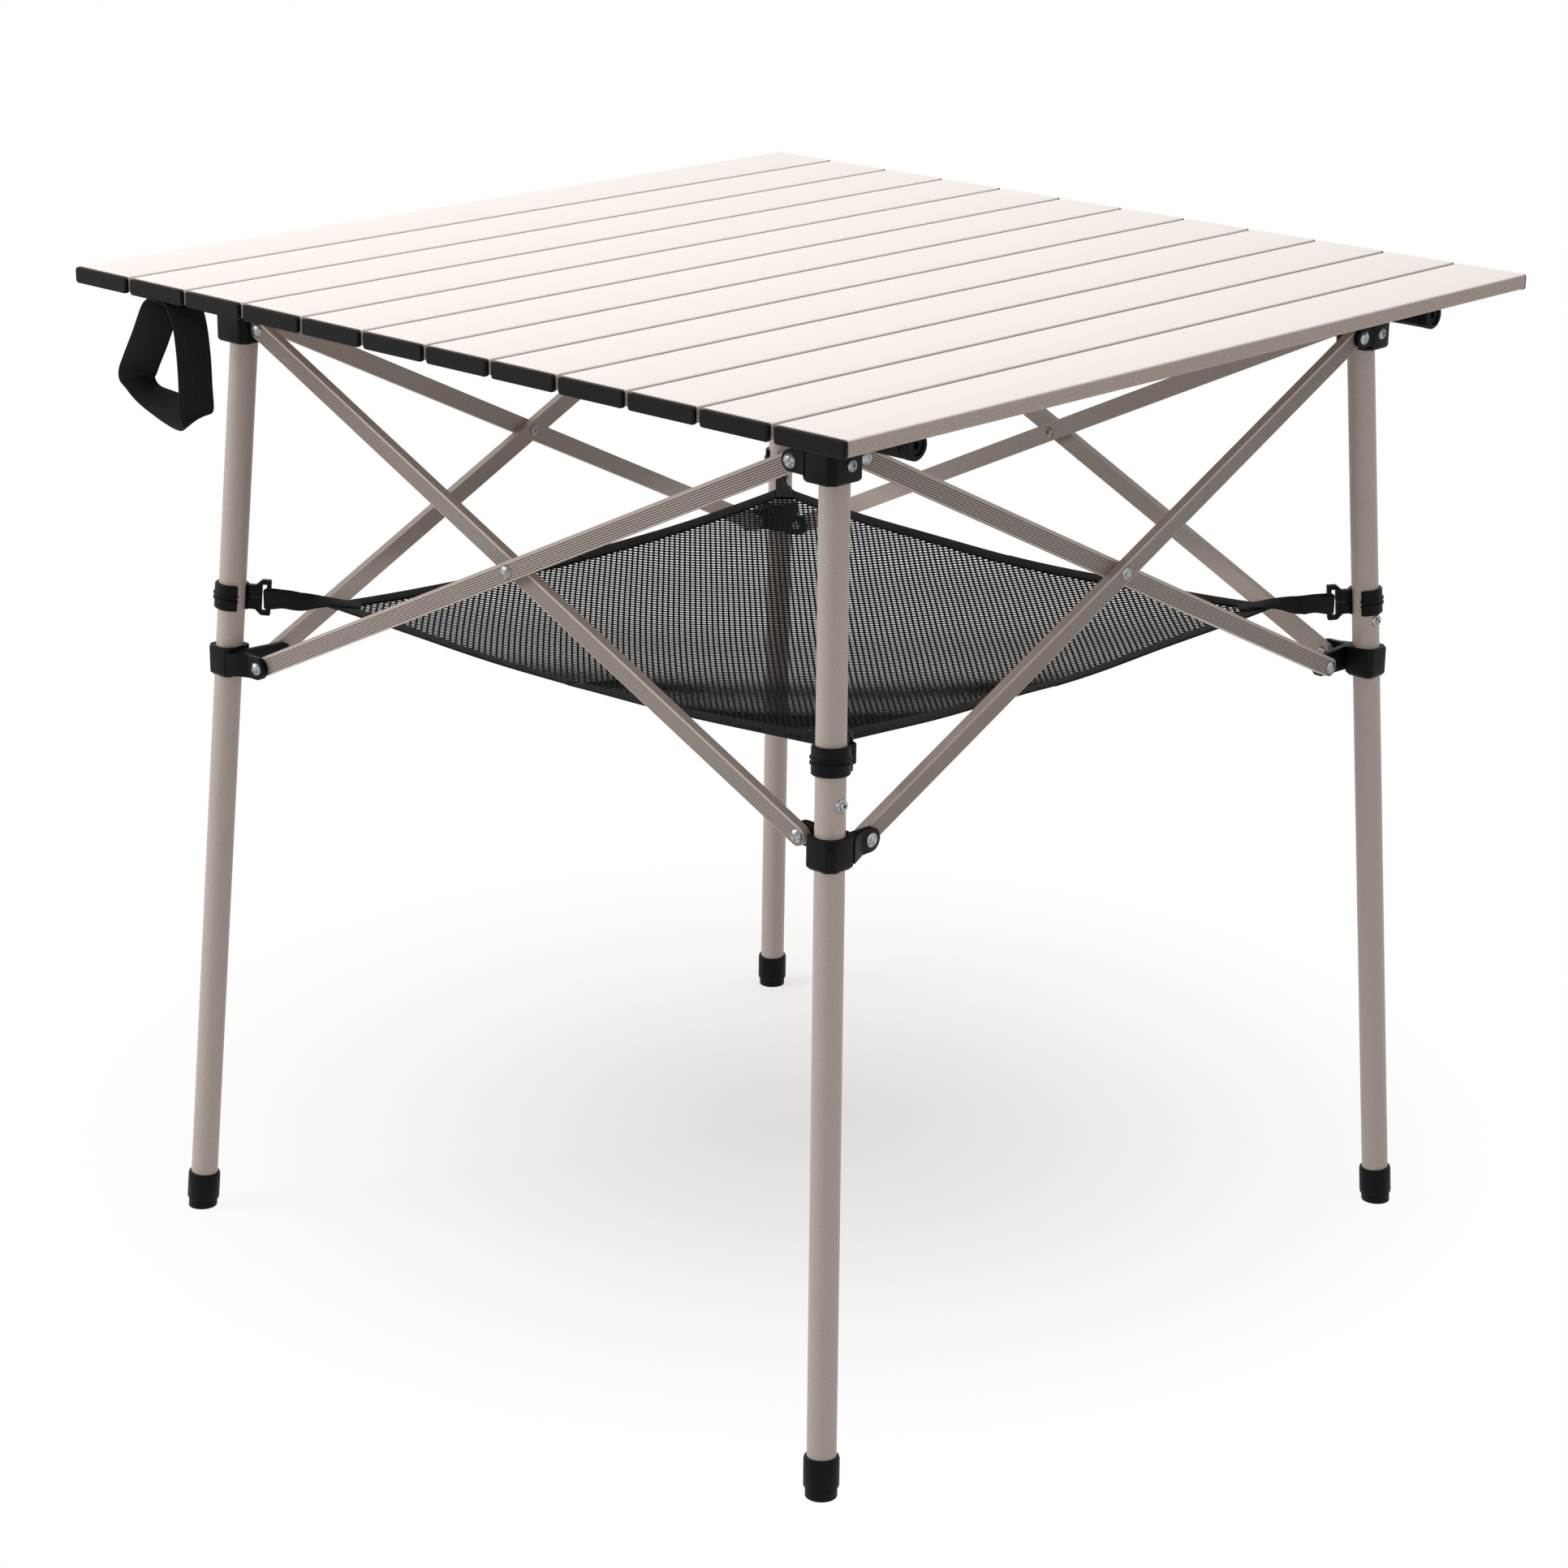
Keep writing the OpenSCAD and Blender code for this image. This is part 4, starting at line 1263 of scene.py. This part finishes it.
class CAMPTABLE_OT_rivets(bpy.types.Operator):
    """Domed rivets of the joints and the bracket screws"""

    bl_idname = "camptable.rivets"
    bl_label = "Rivets and screws"

    def execute(self, context):
        size = layout()
        legs, tree, zinc = size.legs, rivet_tree(), zinc_steel(size)
        r = legs.rivet_head / 2
        dome = [(0, 2 * MM), (r * 0.3, 1.93 * MM), (r * 0.58, 1.66 * MM), (r * 0.8, 1.22 * MM)]
        dome += [(r * 0.95, 0.6 * MM), (r, 0.2 * MM), (r, 0.05 * MM), (0, 0.05 * MM)]
        roll = [(0, 0.1 * MM), (1.2 * MM, 0.2 * MM), (1.4 * MM, 1.1 * MM), (3 * MM, 1.1 * MM)]
        roll += [(3.7 * MM, 0.5 * MM), (3.8 * MM, 0.05 * MM), (0, 0.05 * MM)]
        pan = [(0, 1.9 * MM), (2 * MM, 1.8 * MM), (3.3 * MM, 1.3 * MM), (3.9 * MM, 0.5 * MM)]
        pan += [(3.9 * MM, 0.05 * MM), (0, 0.05 * MM)]
        cross = [
            block((-2.1 * MM, -0.55 * MM, 0.8 * MM), (2.1 * MM, 0.55 * MM, 4 * MM)),
            block((-0.55 * MM, -2.1 * MM, 0.8 * MM), (0.55 * MM, 2.1 * MM, 4 * MM)),
        ]
        head = add_piece("rivet_head_pattern", lathe(dome, 28), zinc)
        tail = add_piece("rivet_tail_pattern", lathe(roll, 24), zinc)
        screw = moulding("screw_pattern", zinc, [lathe(pan, 32)], cross)
        plane, pivot = size.bar_plane, legs.pivot_half
        inner = (plane - size.ear_far, plane - legs.bar_gap)
        outer = (plane + legs.bar_gap, plane + size.ear_far)
        stack = legs.bar_gap + legs.bar_thick
        made = []
        for k, name in enumerate(CORNERS):
            turn = corner_turn(k)
            spots = rivet_spots(turn, 0, pivot, legs.pivot_z, *outer)
            spots += rivet_spots(turn, 1, -pivot, legs.pivot_z, *inner)
            stands = f"bracket_rivets_{name}"
            made.append((f"{stands}_pair", spots, head, f"bracket_{name}", stands))
            out = legs.bracket_half if k % 2 == 0 else plane + size.ear_far - legs.leg_half
            way = Vector((1, 0, 0)) if k % 2 == 0 else Vector((0, -1, 0))
            spot = turn @ (Vector((legs.leg_half, -legs.leg_half, legs.pivot_z)) + way * out)
            spots = [(spot, turn.to_3x3() @ way, False)]
            made.append((f"bracket_screw_{name}", spots, screw, f"bracket_{name}", None))
            spots = rivet_spots(turn, 0, pivot, size.slider_z, *inner)
            spots += rivet_spots(turn, 1, -pivot, size.slider_z, *outer)
            stands = f"slider_rivets_{name}"
            made.append((f"{stands}_pair", spots, head, f"slider_{name}", stands))
            middle = (legs.pivot_z + size.slider_z) / 2
            spots = rivet_spots(turn, 0, 0, middle, plane - stack, plane + stack)
            side = SIDES[k]
            made.append((f"cross_rivet_{side}_pair", spots, head, f"bar_outer_{side}", f"cross_rivet_{side}"))
        for name, spots, shape, body, stands in made:
            piece = grown(name, tree, {"Head": shape, "Tail": tail}, zinc, rivet_points(spots))
            settle(piece, body, "zinc_steel", *([stands] if stands else []))
        for pattern in (head, tail, screw):
            drop_piece(pattern)
        return {"FINISHED"}


class CAMPTABLE_OT_clips(bpy.types.Operator):
    """Split-ring clips that hold the net on the legs"""

    bl_idname = "camptable.clips"
    bl_label = "Net clips"

    def execute(self, context):
        size = layout()
        black, r = moulded_abs(size), size.legs.leg / 2
        for k, name in enumerate(CORNERS):
            # Two bands with a groove between two small ridges at mid-height
            half = [(2.6, 8.2), (2.6, 2.9), (3.5, 2.2), (3.5, 1.2), (2.3, 0.6)]
            ring = [(r + 0.05 * MM, 9 * MM), (r + 1.9 * MM, 9 * MM)] + [(r + a * MM, z * MM) for a, z in half]
            ring += [(a, -z) for a, z in ring[::-1]]
            end = r + size.net.clip_reach
            # A neck from the ring widens to a slotted head
            side = [(-r - 1 * MM, 8.5 * MM), (-end + 10.5 * MM, 8.5 * MM), (-end + 6.5 * MM, 12.5 * MM)]
            side.append((-end, 12.5 * MM))
            plate = side + [(x, -z) for x, z in side[::-1]]
            stand = Matrix.Rotation(math.radians(90), 4, "X")
            tab = placed(prism(rounded(plate, 0.9 * MM), -2.4 * MM, 2.4 * MM), stand)
            slot = block((-end + 3 * MM, -9 * MM, -9.5 * MM), (-end + 6 * MM, 9 * MM, 9.5 * MM))
            slit = block((-end + 5 * MM, -9 * MM, -0.5 * MM), (-r - 3 * MM, 9 * MM, 0.5 * MM))
            mouth = placed(
                block((0, -5 * MM, -20 * MM), (20 * MM, 5 * MM, 20 * MM)),
                Matrix.Rotation(math.radians(-138 if name == "right" else 138), 4, "Z"),
            )
            made = moulding(
                f"net_clip_{name}_ring", black, [lathe(ring, 64, True), tab], [slot, slit, mouth], 0.4 * MM
            )
            spin = Matrix.Rotation(math.radians(-CLIP_TURN[k]), 4, "Z")
            made.data.transform(on_leg(k, size) @ Matrix.Translation((0, 0, -size.clip_drop[k])) @ spin)
            settle(made, f"leg_{name}", "black_plastic", f"net_clip_{name}")
        return {"FINISHED"}


def bound_edge(k, net):
    """Binding along the two edges of a quarter of the net, before it hangs."""
    strips, inset, steps = [], net.binding / 2, 24
    for first in (True, False):
        path, ways = [], []
        for i in range(steps + 1):
            t = net.half * i / steps
            path.append((t, -net.half + inset, 0) if first else (net.half - inset, -t, 0.3 * MM))
            # The raised front corner rolls its edge outward
            roll = 0.36 * i / steps if k == 0 else 0
            ways.append((0, 1, roll) if first else (-1, 0, roll))
        strips.append(tape(path, ways, net.binding, 1.8 * MM, 3))
    return joined_meshes(strips)


def hanging_webbing(k, size):
    """Webbing that lies flat on the net's corner, turns on edge and loops through the clip's slot."""
    net = size.net
    leg = on_leg(0, size) @ Vector((0, 0, -size.clip_drop[k]))
    corner = (leg.x - net.half) * math.sqrt(2)
    end = size.legs.leg / 2 + net.clip_reach
    low, sits = net.height + (net.raised if k == 0 else 0) - leg.z, -3 * MM
    # Inward from the leg, along the tape's flat side, up, and how far it is turned on edge
    route = [
        (corner + 26 * MM, 0, low - 1.4 * MM, 0),
        (corner + 12 * MM, 0, low + 1.0 * MM, 0.05),
        (corner - 2 * MM, 0, low + 2.0 * MM, 0.25),
    ]
    # The loop lies on the clip's tab and turns with it
    loop = [(20, 0, 0.7), (9, 1.5, 0.97), (1, 3.6, 1), (-3.2, 3.6, 1), (-4.6, 0, 1)]
    loop += [(-3.2, -3.6, 1), (1, -3.6, 1), (9, -0.2, 0.97), (18, -1.4, 0.75)]
    for d, n, t in loop:
        out = end + d * MM
        turned = math.radians(CLIP_TURN[k]) * min(1, max(0, 1 - d / 10))
        z = sits if d < 15 else (low + sits) / 2
        there = out * math.cos(turned) - n * MM * math.sin(turned)
        route.append((there, out * math.sin(turned) + n * MM * math.cos(turned), z, t))
    inward, flat = Vector((-1, 1, 0)).normalized(), Vector((1, 1, 0)).normalized()
    hand = -1 if CORNERS[k] == "left" else 1
    path, ways = [], []
    for d, n, z, t in route:
        path.append(leg + inward * d + flat * n + Vector((0, 0, z)))
        ways.append(flat * math.cos(t * math.pi / 2) * hand + Vector((0, 0, math.sin(t * math.pi / 2))))
    return tape(path, ways, net.webbing, 1.3 * MM, 6)


class CAMPTABLE_OT_net(bpy.types.Operator):
    """Net shelf in four quarters, with its bound edge and hanging webbing"""

    bl_idname = "camptable.net"
    bl_label = "Net shelf"

    def execute(self, context):
        size = layout()
        net, tree = size.net, net_tree()
        knit = knitted_net(size)
        bound = ribbed_webbing(size, "Woven polyester binding", 1.5)
        span = 2 * math.sqrt(2) * net.half
        rows, columns = round(span / net.hole_row) + 1, round(span / net.hole_column) + 1
        opened = 0.62
        for k, name in enumerate(CORNERS):
            turn = corner_turn(k)
            way = turn @ Vector((1, -1, 0))
            values = {
                "Rows": rows,
                "Columns": columns,
                "Row Pitch": net.hole_row,
                "Column Pitch": net.hole_column,
                "Reach": net.half - 4 * MM,
                "Open": opened,
                "Quarter": (round(way.x), round(way.y), 0),
            }
            mesh = grown(f"net_{name}_mesh", tree, values, knit)
            hang(mesh.data, net)
            wall = mesh.modifiers.new("yarn", "SOLIDIFY")
            wall.thickness, wall.offset = net.yarn, 0
            plain(mesh)
            edge = add_piece(f"net_{name}_binding", hang(placed(bound_edge(k, net), turn), net), bound, 50)
            webbing = add_piece(f"net_{name}_webbing", placed(hanging_webbing(k, size), turn), bound, 50)
            for piece in (mesh, edge, webbing):
                stands = [f"net_{name}"] if piece == mesh else []
                settle(piece, f"net_{name}", "net_fabric", *stands)
            for piece in (mesh, edge):
                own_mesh(piece)
        return {"FINISHED"}


class CAMPTABLE_OT_strap(bpy.types.Operator):
    """Elastic loop that holds the rolled top together"""

    bl_idname = "camptable.strap"
    bl_label = "Carry strap"

    def execute(self, context):
        size = layout()
        top = size.top
        woven = ribbed_webbing(size, "Woven elastic strap", 1.6)
        # Across the slats, along them and down from their undersides, with the way the width lies
        route = [
            (-2, 0, -1.2, 0.2, 1, 0),
            (-9, -1, -3, 0.3, 1, 0),
            (-15, -2, -16, 0.7, 0.7, 0),
            (-23, -3, -35, 0.75, 0.65, -0.1),
            (-33, -4, -56, 0.75, 0.65, -0.2),
            (-37, -4, -67, 0.5, 0.85, -0.3),
            (-28, -4, -77, 0, 1, 0.1),
            (-8, -3, -84, -0.3, 1, 0.6),
            (10, -2, -89, -0.5, 0.9, 0.9),
            (20, -2, -91, -0.2, 1, 0.4),
            (22, -2, -83, 0.3, 1, -0.1),
            (21, -1, -66, 0.2, 1, 0),
            (19, 0, -42, 0.2, 1, 0),
            (16, 0, -18, 0.2, 1, 0),
            (10, 0, -4, 0.3, 1, 0),
            (3, 0, -1.4, 0.2, 1, 0),
        ]
        base = Vector((-4 * top.slat_pitch - 25 * MM, -338 * MM, top.height - top.slat_thick))
        path = [base + Vector((x, y, 0.86 * z)) * MM for x, y, z, *_ in route]
        ways = [r[3:] for r in route]
        band = tape(path, ways, size.net.strap, 1.3 * MM, 10)
        settle(add_piece("carry_strap_loop", band, woven, 50), "slat_2", "elastic", "carry_strap")
        return {"FINISHED"}


def floor_finish(size):
    """A pale studio floor that is seen paler than it is lit, and plain white away from the table."""
    finish, tree, shader = new_finish("Pale studio floor")
    if tree is None:
        return finish
    place = node(tree, "ShaderNodeTexCoord").outputs["Object"]
    colour = size.paint.floor
    tint = blend(tree, noise(tree, place, 40, 2.0), dimmed(colour, 0.99), list(colour))
    dress(tree, shader, tint, 0.9)
    shader.inputs["Specular IOR Level"].default_value = 0.1
    # The lamps' shadow shows most a little behind the middle of the table, where the least painted white glow
    # lies over the floor; further out the glow paints the shade away
    shaded = (-0.13, 0.13, 0)
    away = node(tree, "ShaderNodeVectorMath", {"operation": "DISTANCE"}, {0: place, 1: shaded})
    paler = ranged(tree, away.outputs["Value"], 0.05, 0.55, 0.42, 1.0)
    share = maths(tree, "MULTIPLY", paler, seen_rays(tree))
    # A white glow painted over the floor for the eye, which hides the floor's shade away from the table
    painted_white_glow = node(tree, "ShaderNodeEmission", {}, {"Color": (1, 1, 1, 1), "Strength": 1.0})
    shown = node(tree, "ShaderNodeMixShader", {}, {0: share, 1: shader.outputs[0], 2: painted_white_glow.outputs[0]})
    tree.links.new(shown.outputs[0], tree.nodes["Material Output"].inputs["Surface"])
    return finish


def soft_world():
    """A world that the eye and reflections see as plain white, and that gives soft and level light."""
    world = bpy.data.worlds.new("Soft studio")
    world.use_nodes = True
    sky = world.node_tree
    glow = sky.nodes["Background"]
    glow.inputs["Strength"].default_value = 0.46
    glow.inputs["Color"].default_value = (1, 1, 1, 1)
    white = node(sky, "ShaderNodeBackground", {}, {"Color": (1, 1, 1, 1), "Strength": 1.0})
    both = {0: seen_rays(sky), 1: glow.outputs[0], 2: white.outputs[0]}
    mixed = node(sky, "ShaderNodeMixShader", {}, both)
    sky.links.new(mixed.outputs[0], sky.nodes["World Output"].inputs["Surface"])
    return world


def softbox(name, spot, aim, width, power):
    """A square soft lamp that looks at a point."""
    lamp = bpy.data.lights.new(name, "AREA")
    lamp.size, lamp.energy = width, power
    made = bpy.data.objects.new(name, lamp)
    made.location = spot
    made.rotation_euler = (Vector(aim) - Vector(spot)).to_track_quat("-Z", "Y").to_euler()
    return made


def photo_camera():
    """A camera where the photo was taken from, fitted to the table's corners."""
    look = Vector((-0.64, 0.69777, -0.32173)).normalized()
    level = Vector((0.73695, 0.67593, 0)).normalized()
    upright = level.cross(look)
    roll = math.radians(0.795)
    right = level * math.cos(roll) + upright * math.sin(roll)
    eye = bpy.data.cameras.new("Photo camera")
    eye.lens, eye.sensor_width, eye.clip_start = 86.41, 36, 0.05
    camera = bpy.data.objects.new("Photo camera", eye)
    turn = Matrix((right, right.cross(look), -look)).transposed().to_4x4()
    camera.matrix_world = Matrix.Translation((1.7039, -1.8737, 1.1855)) @ turn
    return camera


class CAMPTABLE_OT_stage(bpy.types.Operator):
    """Floor, soft light and camera"""

    bl_idname = "camptable.stage"
    bl_label = "Stage"

    def execute(self, context):
        scene = context.scene
        scene.view_settings.view_transform = "Standard"
        floor = add_piece("studio_floor", block((-30, -30, -0.02), (30, 30, 0)), floor_finish(layout()))
        scene.world = soft_world()
        for made in (
            softbox("Overhead softbox", (-0.2, -0.1, 2.6), (0, 0, 0.5), 2.2, 21.5),
            softbox("Left softbox", (-2.0, -2.2, 1.5), (0, 0, 0.35), 1.6, 46),
            softbox("Right softbox", (3.0, -0.6, 1.6), (0, 0, 0.35), 1.8, 8),
        ):
            scene.collection.objects.link(made)
        scene.camera = photo_camera()
        scene.collection.objects.link(scene.camera)
        return {"FINISHED"}


class CAMPTABLE_PT_pieces(bpy.types.Panel):
    """Lists the table's pieces, sizes and colours"""

    bl_label = "Camp table"
    bl_idname = "CAMPTABLE_PT_pieces"
    bl_space_type = "VIEW_3D"
    bl_region_type = "UI"
    bl_category = "Camp table"

    def draw(self, context):
        for made in OPERATORS:
            self.layout.operator(made.bl_idname)
        for label, group in GROUPS.items():
            box = self.layout.box()
            holder = getattr(context.scene, label)
            for key in group.__annotations__:
                box.prop(holder, key)


GROUPS = {
    "camp_table_top": TopSizes,
    "camp_table_frame": FrameSizes,
    "camp_table_net": NetSizes,
    "camp_table_colours": TableColours,
}
OPERATORS = (
    CAMPTABLE_OT_stage,
    CAMPTABLE_OT_slats,
    CAMPTABLE_OT_cords,
    CAMPTABLE_OT_rails,
    CAMPTABLE_OT_legs,
    CAMPTABLE_OT_joints,
    CAMPTABLE_OT_bars,
    CAMPTABLE_OT_rivets,
    CAMPTABLE_OT_clips,
    CAMPTABLE_OT_net,
    CAMPTABLE_OT_strap,
)


def register():
    """Adds the classes and the scene's size and colour groups."""
    for made in (*GROUPS.values(), *OPERATORS, CAMPTABLE_PT_pieces):
        bpy.utils.register_class(made)
    for label, group in GROUPS.items():
        setattr(bpy.types.Scene, label, bpy.props.PointerProperty(type=group))


def unregister():
    """Removes what register added."""
    for label in GROUPS:
        delattr(bpy.types.Scene, label)
    for made in (CAMPTABLE_PT_pieces, *OPERATORS[::-1], *GROUPS.values()):
        bpy.utils.unregister_class(made)


def main():
    """Builds the table on its stage."""
    register()
    for made in OPERATORS:
        family, name = made.bl_idname.split(".")
        getattr(getattr(bpy.ops, family), name)()


if __name__ == "__main__":
    main()
